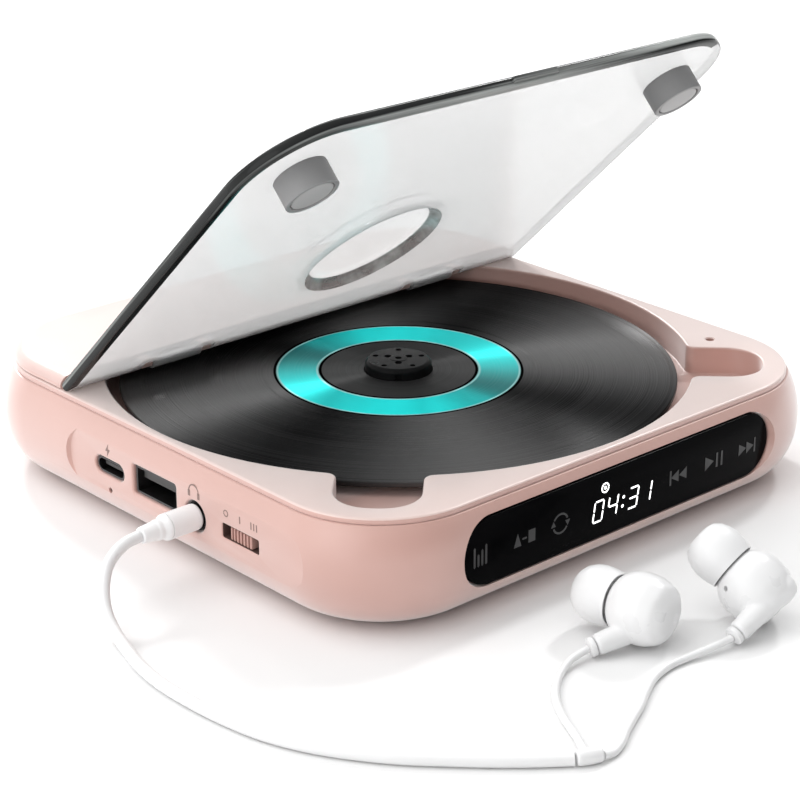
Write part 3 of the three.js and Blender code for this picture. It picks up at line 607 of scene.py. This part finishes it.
def make_bud(side, centre, aimed, root, end):
    place = aim(centre, Vector(aimed).normalized())
    shell = put(f"bud_shell_{side}", *lathed(eased(HOUSING, 0.8), 56), WHITE_GLOSS, "earphones",
                "white_plastic", (f"earbud_{side}",), place)
    heading = Vector(end) - Vector(root)
    length, along = heading.length, aim(root, heading.normalized())
    stem = lathed(eased([(0, -1.5), (1.7, -1.3), (2.6, -0.3), (2.9, 1.6), (2.5, 5.0), (2.0, length - 1.4),
                         (0, length - 1.4)], 0.8), 40)
    fuse(shell, tool(stem, along))
    melt(shell, voxel=0.22, rounds=6)
    vent = place @ Matrix.Rotation(math.radians(VENT_TURN[side]), 4, "Z") @ Matrix.Translation((0, 5.2, 2.2))
    outward = aim((0, 0, 0), (0, 0.86, 0.5))
    cut(shell, tool(cylinder(0.55, -3, 3, 24), vent @ outward))
    collar = eased([(0, length - 1.25), (1.72, length - 1.25), (1.88, length - 1.05), (1.85, length - 0.25),
                    (0.9, length - 0.02), (0, length)], 0.12)
    put(f"stem_collar_{side}", *lathed(collar, 40), WHITE_GLOSS, "earphones", "white_plastic", place=along)
    put(f"silicone_tip_{side}", *lathed([*TIP_OUTSIDE, *TIP_INSIDE], 56), SILICONE, "earphones", "silicone",
        (f"ear_tip_{side}",), place)


make_plug()
make_splitter()
for bud_side, bud in BUDS.items():
    make_bud(bud_side, *bud)


# ---- case ----
CASE = rounded(-CASE_HALF, CASE_HALF, -CASE_HALF, CASE_HALF, CASE_CORNER)


def side_offset(z):
    """How far the case side stands out from the plain outline at a height."""
    if z >= BELLY:
        return BULGE - (BULGE - SEAM_LIP) * ((z - BELLY) / (SEAM - BELLY)) ** 2.2
    drop = (BELLY - z) / (BELLY - CASE_BOTTOM)
    return BULGE - TUCK * (1 - math.sqrt(max(0.0, 1 - drop * drop)))


def case_ring(z, offset):
    return level(arcs(CASE, offset, 20), z)


def side_port(outline_at, mouth):
    """A cutter through the left wall with a rounded mouth: outline_at(grow) gives its (y, z) outline."""
    steps = 5
    rings = [on_side(outline_at(mouth + 1.0), PANEL_X - 1.0)]
    for i in range(steps + 1):
        angle = math.radians(90 * i / steps)
        outline = outline_at(mouth * (1 - math.sin(angle)))
        rings.append(on_side(outline, PANEL_X + mouth * (1 - math.cos(angle))))
    rings.append(on_side(outline_at(0), PORT_END))
    return tool(stack(rings))


def slot_port(slot, mouth):
    """The same for a rounded slot: its centre, width, height and corner."""
    return side_port(lambda grow: arcs(centred(*slot), grow, 10), mouth)


def round_port(y, z, radius, count, mouth):
    return side_port(lambda grow: circle(y, z, radius + grow, count), mouth)


def make_shell():
    rise = BELLY - CASE_BOTTOM
    below = [CASE_BOTTOM + rise * (1 - math.cos(math.radians(90 * i / 14))) for i in range(15)]
    above = [BELLY + (SEAM - BELLY) * i / 10 for i in range(1, 11)]
    rings = [case_ring(z, side_offset(z)) for z in below + above]
    rings[-1] = case_ring(SEAM - 0.25, side_offset(SEAM) + 0.02)
    rings.append(case_ring(SEAM - 0.06, side_offset(SEAM) - 0.08))
    rings.append(case_ring(SEAM, side_offset(SEAM) - 0.28))
    for z, offset in ((SEAM, -0.7), (6.5, -0.7), (4.2, -2.0), (3.0, -3.6), (2.6, -4.7)):
        rings.append(case_ring(z, offset))
    shell = put("case_shell", *stack(rings), PINK, "player", "pink_shell", ("base_shell",))
    flat = [on_side(arcs(centred(*WALL_PANEL), grow, 14), x)
            for x, grow in ((-71, 1.2), (-68.0, 0.5), (PANEL_X, 0))]
    cut(shell, tool(stack(flat)))
    cut(shell, slot_port(USB_C_OPENING, 0.45), slot_port(USB_A_OPENING, 0.6),
        slot_port(SWITCH_OPENING, 0.25), round_port(JACK_Y, JACK_Z, JACK_RADIUS, 60, 0.4),
        round_port(LED_Y, LED_Z, LED_RADIUS, 24, 0.12))
    window = rounded(-WINDOW_HALF, WINDOW_HALF, WINDOW_LOW, WINDOW_HIGH, WINDOW_CORNER)
    pocket = stack([on_front(arcs(window, grow, 20), y) for y, grow in
                    ((-71, 1.5), (-68.2, 0.95), (-67.2, 0.55), (-66.8, 0.38), (-66.3, 0.3), (-65.0, 0.3))])
    sight = rounded(-WINDOW_HALF + 2, WINDOW_HALF - 2, WINDOW_LOW + 2, WINDOW_HIGH - 2, 4.9)
    cut(shell, tool(pocket), tool(stack([on_front(arcs(sight, 0, 8), y) for y in (-66, -62)])))
    recess = [(0, -1), (5.6, -1), (5.35, 0.85), (5.2, 1.2), (0, 1.2)]
    hole = [(0, -1), (3.2, -1), (2.85, 0.85), (2.6, 1.3), (2.6, 2.55), (0, 2.55)]
    wells = []
    for sx in (-1, 1):
        for sy in (-1, 1):
            wells.append(tool(lathed(recess, 48), Matrix.Translation((FOOT_AT * sx, FOOT_AT * sy, 0))))
            wells.append(tool(lathed(hole, 40), Matrix.Translation((SCREW_AT * sx, SCREW_AT * sy, 0))))
    cut(shell, *wells)


make_shell()


# ---- deck ----
def hole_outline():
    """The disc well and its two finger notches as arcs: each notch mouth is rounded into the well."""
    mouth_y = NOTCH_HALF + NOTCH_MOUTH
    mouth_x = math.sqrt((WELL_RADIUS + NOTCH_MOUTH) ** 2 - mouth_y ** 2)
    lean = math.degrees(math.atan2(mouth_y, mouth_x))
    end_x, end_y = NOTCH_END - NOTCH_CORNER, NOTCH_HALF - NOTCH_CORNER
    notch = [(mouth_x, -mouth_y, NOTCH_MOUTH, 180 - lean, 90), (end_x, -end_y, NOTCH_CORNER, -90, 0),
             (end_x, end_y, NOTCH_CORNER, 0, 90), (mouth_x, mouth_y, NOTCH_MOUTH, -90, -180 + lean)]
    outline = []
    for turn, sweep in ((-45.0, 270.0), (225.0, 90.0)):
        turned = Matrix.Rotation(math.radians(turn), 2)
        for x, y, radius, start, end in notch:
            spot = turned @ Vector((x, y))
            outline.append((spot.x, spot.y, radius, start + turn, end + turn))
        outline.append((0, 0, WELL_RADIUS, turn + lean, turn + sweep - lean))
    return outline


def ring_of(corners, grow):
    """Arcs with as many steps as each needs, so that a long arc is as fine as a short one."""
    points = []
    for x, y, radius, start, end in corners:
        steps = max(8, round(abs(end - start) / 3.0)) if radius > 20 else 10
        points += arcs([(x, y, radius, start, end)], grow, steps)
    return points


def loop_edges(work, loop):
    """The edges round a closed loop of verts, made where they are missing."""
    return [work.edges.get(pair) or work.edges.new(pair) for pair in zip(loop, loop[1:] + loop[:1])]


def fill_between(work, *loops):
    """Fills the flat area inside one loop of verts, or between two."""
    edges = [edge for loop in loops for edge in loop_edges(work, loop)]
    bmesh.ops.triangle_fill(work, edges=edges, use_beauty=len(loops) > 1)


def add_rings(work, rings):
    """Verts of each ring, skinned one to the next."""
    loops = [[work.verts.new(Vector(p) * MM) for p in ring] for ring in rings]
    for low, high in zip(loops, loops[1:]):
        for i, vert in enumerate(low):
            follow = (i + 1) % len(low)
            work.faces.new((vert, low[follow], high[follow], high[i]))
    return loops


def quarter(z0, z1, start, end, steps=4):
    """(z, offset) pairs along a quarter round from a wall into a flat top."""
    pairs = []
    for i in range(steps + 1):
        angle = math.radians(90 * i / steps)
        pairs.append((z0 + (z1 - z0) * math.sin(angle), start + (end - start) * (1 - math.cos(angle))))
    return pairs


def case_pink_below_tops(made, below, tilt):
    """Gives the faces that lie low or stand steep the case's deeper pink; only the tops keep their paler
    pink, which is painted light.
    """
    made.data.materials.append(PINK)
    deep = len(made.data.materials) - 1
    for face in made.data.polygons:
        if face.center.z < below * MM or face.normal.z < tilt:
            face.material_index = deep


def make_deck():
    work = bmesh.new()
    hole = hole_outline()
    round_low = DECK_TOP - 0.5
    outside = [(SEAM, -0.35), (SEAM + 0.06, -0.12), (SEAM + 0.22, 0.0),
               *quarter(round_low, DECK_TOP, 0.0, -0.6)]
    outer = add_rings(work, [case_ring(z, offset) for z, offset in outside])
    inside = [*reversed(quarter(round_low, DECK_TOP, 0.0, 0.5)), (WELL_FLOOR + 0.5, 0.0),
              (WELL_FLOOR + 0.15, -0.12), (WELL_FLOOR, -0.5)]
    inner = add_rings(work, [level(ring_of(hole, grow), z) for z, grow in inside])
    fill_between(work, outer[-1], inner[0])
    tub = add_rings(work, [level(ring_of(hole, 0.95), z) for z in (SEAM, WELL_FLOOR - 0.8)])
    fill_between(work, outer[0], tub[0])
    fill_between(work, inner[-1])
    fill_between(work, tub[-1])
    bmesh.ops.recalc_face_normals(work, faces=work.faces)
    mesh = bpy.data.meshes.new("deck")
    work.to_mesh(mesh)
    work.free()
    deck = in_scene("deck", mesh)
    mesh.materials.append(DECK_PINK_LIT)
    finish_mesh(deck)
    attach(deck, "player")
    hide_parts("top_deck")
    slot = stack([level(arcs(rounded(-9, 9, 0, 60, 5), 0, 10), z) for z in (15, 20)])
    pinhole = lathed([(0, 22.0), (0.95, 22.0), (0.95, 23.9), (1.15, 24.05), (1.3, 24.3), (1.3, 25),
                      (0, 25)], 32)
    cut(deck, tool(cylinder(16.5, 15, 20, 64)), tool(slot), tool(pinhole, SENSOR_PLACE))
    case_pink_below_tops(deck, DECK_TOP - 0.4, 0.6)


def make_sensor():
    """The dark window down the deck's small hole."""
    glass = eased([(0, 22.2), (0.93, 22.2), (0.93, 22.9), (0, 23.0)], 0.1)
    put("sensor_window", *lathed(glass, 24), BLACK_GLOSS, "player", "black_gloss", place=SENSOR_PLACE)


make_deck()
make_sensor()


def hinge_bores(axis):
    """Cutters for the two hinge pins along an axis."""
    return [tool(cylinder(PIN_RADIUS, middle - PIN_REACH, middle + PIN_REACH, 24), axis)
            for middle in (-HINGE_X, HINGE_X)]


def make_cover():
    """Raised cover behind the hinge: its three outer edges roll over, its front edge is straight."""
    sides = [(COVER_BOTTOM, -0.35), (COVER_BOTTOM + 0.15, -0.08), (COVER_BOTTOM + 0.4, 0.0)]
    at = CASE_HALF - CASE_CORNER
    rings = []
    for z, offset in sides + quarter(COVER_BOTTOM + 0.5, COVER_TOP, 0.0, -3.0, 8):
        rear = arcs([(at, at, CASE_CORNER, 0, 90), (-at, at, CASE_CORNER, 90, 180)], offset, 24)
        ring = [(CASE_HALF + offset, COVER_FRONT), *rear, (-CASE_HALF - offset, COVER_FRONT)]
        rings.append(level(ring, z))
    cover = put("hinge_cover", *stack(rings), COVER_PINK_LIT, "player", "pink_shell", ("rear_cover",))
    axis = aim((0, HINGE_Y, HINGE_Z), (1, 0, 0))
    gaps, ears = [], []
    profile = [(HINGE_Y + 2.6, 24.4), (HINGE_Y + 2.6, 26.6), (HINGE_Y, 26.6), (HINGE_Y - 1.0, 26.3),
               (HINGE_Y - 1.4, 25.5), (HINGE_Y - 1.0, 24.7), (HINGE_Y, 24.4)]
    for middle in (-HINGE_X, HINGE_X):
        gaps.append(tool(cylinder(2.1, middle - KNUCKLE_REACH, middle + KNUCKLE_REACH, 48), axis))
        for edge in (-1, 1):
            near = middle + edge * (KNUCKLE_HALF + 0.3)
            span = sorted((near, near + edge * EAR_WIDE))
            ears.append(tool(stack([on_side(profile, x) for x in span])))
    cut(cover, *gaps)
    fuse(cover, *ears)
    cut(cover, *hinge_bores(axis))
    pegs = [tool(cylinder(r, DECK_TOP, 25, 24), Matrix.Translation((sx * x, y, 0)))
            for sx in (-1, 1) for x, y, r in ((52, 52, 2), (58, 38, 1.5))]
    case_pink_below_tops(fuse(cover, *pegs), COVER_BOTTOM, 0.3)


make_cover()


# ---- lid ----
def lid_ring(z, pull=0.0):
    """The lid's outline at a height in its thickness: soft edges, round at the back on the hinge axis."""
    edge = abs(z) / LID_BEVEL
    inset = -0.55 * edge ** 6 - pull
    back = math.sqrt(max(0.0, LID_BEVEL ** 2 - z * z)) - pull
    near, far = LID_HALF - LID_CORNER, -LID_LENGTH + LID_CORNER
    front = [(-near, far, LID_CORNER, 180, 270), (near, far, LID_CORNER, 270, 360)]
    return [(LID_HALF + inset, back, z), (-LID_HALF - inset, back, z), *level(arcs(front, inset, 28), z)]


def rim_depth(spot):
    """How far in from the lid's left, front or right edge a point lies."""
    beside = abs(spot.x) - LID_HALF + LID_CORNER
    before = -spot.y - LID_LENGTH + LID_CORNER
    if beside > 0 and before > 0:
        return LID_CORNER - math.hypot(beside, before)
    return LID_CORNER - max(beside, before)


def make_lid():
    heights = [-LID_BEVEL, -1.12, -0.95, -0.6, 0.0, 0.6, 0.95, 1.12, LID_BEVEL]
    rings = [lid_ring(-LID_BEVEL, EDGE_BAND), *[lid_ring(z) for z in heights]]
    lid = put("clear_lid", *stack(rings), SMOKY, "lid", "clear_lid", ("lid_panel",), LID_PLACE)
    dome = [(0, 1.0), (18.2, 1.0), (18.0, 1.4), (17.4, 1.95), (16.4, 2.4), (15.0, 2.75), (13.5, 2.9),
            (0, 3.0)]
    hollow = [(0, -1.5), (16.7, -1.5), (16.55, -1.1), (16.2, -0.6), (15.6, 0.1), (14.6, 0.8), (13.4, 1.15),
              (12.0, 1.28), (0, 1.3)]
    over_hub = LID_PLACE @ Matrix.Translation((0, -HINGE_Y, 0))
    axis = LID_PLACE @ aim((0, 0, 0), (1, 0, 0))
    tab = rounded(-5, 7, -LID_LENGTH - 0.9, -LID_LENGTH + 1, 0.45)
    slots, bars = [], []
    for middle in (-HINGE_X, HINGE_X):
        low, high = middle - KNUCKLE_HALF, middle + KNUCKLE_HALF
        slots.append(tool(block(middle - KNUCKLE_REACH, middle + KNUCKLE_REACH, -2.4, 2, -2, 2), LID_PLACE))
        bars.append(tool(cylinder(1.7, low, high, 48), axis))
        bars.append(tool(block(low, high, -3, 0, -1.15, 1.15), LID_PLACE))
    fuse(lid, tool(lathed(dome, 96), over_hub))
    cut(lid, tool(lathed(hollow, 96), over_hub), *slots)
    fuse(lid, *bars, tool(stack([level(arcs(tab, 0, 6), z) for z in (-0.55, 0.55)]), LID_PLACE))
    cut(lid, *hinge_bores(axis))
    lid.data.materials.append(EDGE_PAINTED_SHADE)
    lid.data.materials.append(DISH_WALL_PAINTED_SHADE)
    # painted shade: index 1 puts the dark streaked edge on the side faces and on a band under the left and
    # front edges only; index 2 darkens the dish's steep wall
    to_local = LID_PLACE.inverted()
    flat, edge_top = 0.9, 0.8
    for face in lid.data.polygons:
        steep = abs((to_local.to_3x3() @ face.normal).z) < flat
        spot = to_local @ (face.center / MM)
        shade_band_under = spot.z < 0 and spot.x < LID_HALF - LID_CORNER / 2
        if rim_depth(spot) < EDGE_BAND + 0.5 and spot.z < edge_top and (steep or shade_band_under):
            face.material_index = 1
        elif steep and math.hypot(spot.x, spot.y + HINGE_Y) < DISH_REACH:
            face.material_index = 2


def make_posts():
    rim, deep = POST_RADIUS - 1.0, POST_END + 0.85
    post = eased([(0, -1.22), (POST_RADIUS, -1.22), (POST_RADIUS, POST_END), (rim, POST_END),
                  (rim, POST_END + 0.9), (0, POST_END + 0.9)], 0.28)
    cap = eased([(0, deep), (rim - 0.2, deep), (rim - 0.2, POST_END + 0.1), (0, POST_END + 0.05)], 0.2)
    for side, sx in (("left", -1), ("right", 1)):
        place = LID_PLACE @ Matrix.Translation((sx * POST_X, -POST_Y - HINGE_Y, 0))
        put(f"post_{side}", *lathed(post, 64), GREY_POST, "lid", "grey_post", (f"lid_post_{side}",), place)
        put(f"post_cap_{side}", *lathed(cap, 64), GREY_CAP, "lid", "magnet", (f"post_magnet_{side}",), place)


make_lid()
make_posts()


# ---- disc and hub ----
def make_disc():
    profile = eased([(DISC_HOLE, DISC_BOTTOM), (DISC_OUTER, DISC_BOTTOM), (DISC_OUTER, DISC_TOP),
                     (DISC_HOLE, DISC_TOP)], 0.3)
    put("record_disc", *lathed(profile, 160), DISC_FACE, "disc", "disc_face", ("compact_disc",))


def make_hub():
    edge, inner_ring, outer_ring = 0.7, 2.6, 5.2
    profile = eased([(0, 8), (0.75, 8), (0.75, 16.2), (4, 16.2), (4, 17.9), (15, 17.9), (15, DISC_BOTTOM),
                     (HUB_RADIUS, DISC_BOTTOM), (HUB_RADIUS, HUB_TOP - edge), (HUB_RADIUS - edge, HUB_TOP),
                     (2.0, HUB_TOP), (1.8, HUB_TOP + 0.12), (0, HUB_TOP + 0.12)], 0.25)
    hub = put("hub", *lathed(profile, 72), BLACK_GLOSS, "spindle", "black_gloss", ("turntable_hub",))
    holes = [(0.0, 0.0, 0.75)]
    holes += [(*polar(inner_ring, a), 0.8) for a in CLIP_ANGLES]
    holes += [(*polar(outer_ring, a), 0.65) for a in range(48, 408, 72)]
    pins = [tool(cylinder(r, HUB_TOP - 0.9, HUB_TOP + 1, 16), Matrix.Translation((x, y, 0)))
            for x, y, r in holes]
    clip = block(6.5, 8, -0.7, 0.7, DISC_TOP - 0.2, HUB_TOP - 1.0)
    cut(hub, *pins, *[tool(clip, Matrix.Rotation(math.radians(a), 4, "Z")) for a in CLIP_ANGLES])


make_disc()
make_hub()


# ---- display ----
def make_window():
    window = rounded(-WINDOW_HALF, WINDOW_HALF, WINDOW_LOW, WINDOW_HIGH, WINDOW_CORNER)
    rings = [on_front(arcs(window, grow, 24), y) for y, grow in
             ((WINDOW_Y, -0.3), (WINDOW_Y + 0.08, -0.08), (WINDOW_Y + 0.3, 0), (-65.1, 0))]
    put("touch_window", *stack(rings), WINDOW_BLACK, "player", "panel_black", ("display_window",))


def flat_shapes(name, outlines, material, slot, plane, thick=0.05, place=on_front):
    """Thin printed or lit marks on a wall, from closed outlines in the wall's own two directions."""
    points, faces = [], []
    for outline in outlines:
        made_points, made_faces = stack([place(outline, plane), place(outline, plane - thick)])
        faces += [tuple(i + len(points) for i in face) for face in made_faces]
        points += made_points
    put(name, points, faces, material, "player", slot, sharp=20)


def rect(u0, u1, v0, v1):
    return [(u0, v0), (u1, v0), (u1, v1), (u0, v1)]


def lean(outline, x, z, slant=0.0):
    """An outline moved to a place and slanted."""
    return [(x + u + v * slant, z + v) for u, v in outline]


def bar(u0, v0, u1, v1, wide):
    """A straight stroke with pointed ends, as a display segment is."""
    along = Vector((u1 - u0, v1 - v0)).normalized() * wide / 2
    side = Vector((-along.y, along.x))
    start, end = Vector((u0, v0)), Vector((u1, v1))
    return [tuple(p) for p in (start - along * 0.6, start + along * 0.5 - side, end - along * 0.5 - side,
                               end + along * 0.6, end - along * 0.5 + side, start + along * 0.5 + side)]


def arc_band(radius, wide, start, end, steps=14):
    angles = [start + (end - start) * i / steps for i in range(steps + 1)]
    return ([polar(radius + wide / 2, a) for a in angles]
            + [polar(radius - wide / 2, a) for a in reversed(angles)])


SEGMENTS = {"a": (0, 2, 1, 2), "b": (1, 1, 1, 2), "c": (1, 0, 1, 1), "d": (0, 0, 1, 0), "e": (0, 0, 0, 1),
            "f": (0, 1, 0, 2), "g": (0, 1, 1, 1)}
DIGITS = {"0": "abcdef", "1": "bc", "3": "abcdg", "4": "bcfg"}


def make_clock():
    wide, tall, stroke, slant, gap, low = 2.5, 4.3, 0.34, 0.16, 0.2, 10.3
    sign_x, sign_z = -5.6, 17.0
    shapes = []
    for digit, x in (("0", -9.0), ("4", -4.9), ("3", 1.0), ("1", 4.9)):
        for name in DIGITS[digit]:
            u0, v0, u1, v1 = SEGMENTS[name]
            du, dv = (u1 - u0) * gap, (v1 - v0) * gap
            stick = bar(u0 * wide + du, v0 * tall / 2 + dv, u1 * wide - du, v1 * tall / 2 - dv, stroke)
            shapes.append(lean(stick, x, low, slant))
    shapes += [lean(circle(0, v, 0.34, 12), -0.7, low, slant) for v in (1.2, 3.1)]
    flat_shapes("clock_digits", shapes, DIGIT_WHITE, "panel_black", WINDOW_Y - 0.02)
    rings = [arc_band(0.95, 0.3, 4, 356, 24), arc_band(0.28, 0.2, 8, 352, 12)]
    flat_shapes("disc_sign", [lean(ring, sign_x, sign_z) for ring in rings], DIGIT_WHITE, "panel_black",
                WINDOW_Y - 0.02)


def triangle(size, way):
    return [(-way * size * 0.45, -size * 0.55), (way * size * 0.5, 0), (-way * size * 0.45, size * 0.55)]


def make_keys():
    """Touch key signs: level bars, section repeat, loop, back, play or pause, forward."""
    key_z = 13.2
    levels = ((-1.5, 2.0), (-0.5, 0.4), (0.5, 1.2), (1.5, 2.0))
    signs = [(bar(u, -2.0, u, top, 0.5), -39.4) for u, top in levels]
    signs += [([(-1.0, -1.3), (0, 1.5), (1.0, -1.3)], -29.6), (bar(-0.5, 0, 0.6, 0, 0.4), -27.8),
              (rect(-0.9, 0.9, -1.3, 1.3), -25.8)]
    signs += [(arc_band(2.0, 0.42, start, start + 130), -18.0) for start in (20, 200)]
    signs += [([(2.6, 0.3), (1.3, 0.3), (1.95, -0.9)], -18.0),
              ([(-2.6, -0.3), (-1.3, -0.3), (-1.95, 0.9)], -18.0),
              (rect(-2.6, -2.1, -1.6, 1.6), 15.9), (triangle(2.4, -1), 14.9), (triangle(2.4, -1), 17.3),
              (triangle(2.8, 1), 25.3), (rect(0, 0.55, -1.6, 1.6), 27.4), (rect(0, 0.55, -1.6, 1.6), 28.9),
              (triangle(2.4, 1), 35.6), (triangle(2.4, 1), 38.0), (rect(0, 0.5, -1.6, 1.6), 39.3)]
    shapes = [lean(outline, x, key_z) for outline, x in signs]
    flat_shapes("key_signs", shapes, ICON_GREY, "panel_black", WINDOW_Y - 0.02)


make_window()
make_clock()
make_keys()


# ---- left wall: marks, knob, pieces inside the sockets ----
def make_wall_marks():
    """Printed signs beside the sockets: charge bolt, headphones, three switch positions."""
    phones_z, switch_z = 17.7, 16.6
    bolt = [(0.35, 1.5), (-0.9, -0.25), (-0.1, -0.25), (-0.35, -1.5), (0.9, 0.25), (0.1, 0.25)]
    signs = [([(-u * 0.9, v) for u, v in bolt], 13.3, 17.3), (arc_band(1.5, 0.28, 0, 180), -15.5, phones_z)]
    signs += [(rect(side - 0.35, side + 0.35, -1.2, 0.1), -15.5, phones_z) for side in (-1.5, 1.5)]
    bars = ((-0.16, 0.16, SWITCH_Y), (-1.0, -0.7, -34.2), (-0.15, 0.15, -34.2), (0.7, 1.0, -34.2))
    signs.append((arc_band(0.62, 0.24, 4, 356, 16), -25.6, switch_z))
    signs += [(rect(u0, u1, -0.75, 0.75), y, switch_z) for u0, u1, y in bars]
    shapes = [lean(outline, y, z) for outline, y, z in signs]
    flat_shapes("wall_marks", shapes, PRINT_GREY, "pink_shell", PANEL_X - 0.005, 0.03, on_side)


def make_knob():
    cap = centred(SWITCH_Y, SWITCH_Z, 6.6, 2.7, 0.3)
    rings = [on_side(arcs(cap, grow, 6), x)
             for x, grow in ((-67.15, -0.3), (-67.1, -0.1), (-66.9, 0), (-65, 0))]
    knob = put("switch_cap", *stack(rings), KNOB_PINK, "switch", "pink_shell", ("switch_knob",))
    fuse(knob, tool(block(-65.4, -60.5, -31.4, -28.4, 11.9, 13.5)))
    cut(knob, *[tool(block(-68, -66.65, y - 0.22, y + 0.22, 10, 16))
                for y in (-32.3, -31.3, -30.3, -29.3, -28.3, -27.4)])


def make_slot_shade_liner():
    """A dark frame lining the switch slot: painted shade inside it."""
    rings = [on_side(arcs(centred(SWITCH_Y, SWITCH_Z, SWITCH_WIDE - pull, SWITCH_TALL - pull, 0.3), 0, 4), x)
             for x, pull in ((-67.2, 0.0), (-64.6, 0.0), (-64.6, 0.16), (-67.2, 0.16))]
    put("switch_slot_painted_shade", *closed_stack(rings), SLOT_PAINTED_SHADE, "player", "black_matt")


make_wall_marks()
make_knob()
make_slot_shade_liner()


# ---- underside ----
def make_feet():
    pad = eased([(0, 0), (4.9, 0), (5.0, 1.15), (0, 1.18)], 0.35)
    head = eased([(0, 1.9), (1.9, 1.95), (2.25, 2.25), (2.25, 2.5), (0, 2.5)], 0.2)
    for number, (sx, sy) in enumerate(((-1, -1), (1, -1), (-1, 1), (1, 1)), 1):
        put(f"rubber_foot_{number}", *lathed(pad, 48), RUBBER, "player", "rubber", (f"foot_{number}",),
            Matrix.Translation((FOOT_AT * sx, FOOT_AT * sy, 0)))
        place = Matrix.Translation((SCREW_AT * sx, SCREW_AT * sy, 0))
        screw = put(f"screw_head_{number}", *lathed(head, 40), DARK_STEEL, "player", "steel",
                    (f"case_screw_{number}",), place)
        cut(screw, *[tool(block(*span, 1, 2.2), place)
                     for span in ((-1.2, 1.2, -0.25, 0.25), (-0.25, 0.25, -1.2, 1.2))])


make_feet()


# ---- CAD nodes that stay, with better materials ----
KEPT = [
    (DARK_STEEL, ["usb_c_socket", "usb_a_socket"]),
    (TONGUE, ["usb_c_tongue", "usb_a_tongue"]),
    (BLACK_GLOSS, ["headphone_jack"]),
    (LIGHT_PIPE, ["charge_led"]),
    (BLACK_MATT, ["switch_body", "traverse_chassis", "pickup_sled"]),
    (BOARD_GREEN, ["main_board", "display_board"]),
    (PALE_BLOCK, ["led_display_module"]),
    (CELL_WRAP, ["battery_pack"]),
    (OPTIC, ["objective_lens"]),
    (STEEL, ["guide_rod_left", "guide_rod_right", "lead_screw", "sled_motor", "spindle_motor",
             "hinge_pin_left", "hinge_pin_right", "plug_tip"]),
    (RUBBER, ["damper_1", "damper_2", "damper_3", "damper_4"]),
]
for kept_material, cad_names in KEPT:
    for cad_name in cad_names:
        cad_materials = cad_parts[cad_name].data.materials
        cad_materials.clear()
        cad_materials.append(kept_material)


# ---- stage ----
def make_floor():
    size = 9.0
    mesh = bpy.data.meshes.new("floor")
    corners = [(-size, -size, 0), (size, -size, 0), (size, size, 0), (-size, size, 0)]
    mesh.from_pydata(corners, [], [(0, 1, 2, 3)])
    floor = in_scene("floor", mesh)
    mesh.materials.append(floor_material())


def sun(name, direction, strength, angle):
    """A far soft light that shines from a direction."""
    data = bpy.data.lights.new(name, "SUN")
    data.energy, data.angle = strength, math.radians(angle)
    lamp = in_scene(name, data)
    lamp.rotation_mode = "QUATERNION"
    lamp.rotation_quaternion = Vector(direction).to_track_quat("Z", "Y")


def make_light():
    """A white studio, brighter from behind on the left and above than from the front."""
    away, toward = 0.06, 1.17
    world = bpy.data.worlds.new("studio")
    world.use_nodes = True
    tree = world.node_tree
    sky = node(tree, "ShaderNodeTexCoord").outputs["Generated"]
    bright = tuple(Vector((-0.45, 0.6, 0.66)).normalized())
    facing = node(tree, "ShaderNodeVectorMath", {0: sky, 1: bright}, operation="DOT_PRODUCT")
    strength = spread(tree, facing.outputs["Value"], away, toward, -0.5, 0.6)
    feed(tree.nodes["Background"], {"Strength": strength, "Color": (1, 1, 1, 1)})
    bpy.context.scene.world = world
    sun("key", (-0.4, 0.35, 0.85), 0.85, 50)
    sun("rim", (0.3, 0.78, 0.55), 1.35, 7)
    sun("side", (0.69, 0.2, 0.70), 0.85, 7)
    sun("left", (-1.0, -0.1, 0.3), 0.5, 45)
    bpy.context.scene.view_settings.view_transform = "Standard"


make_floor()
make_light()
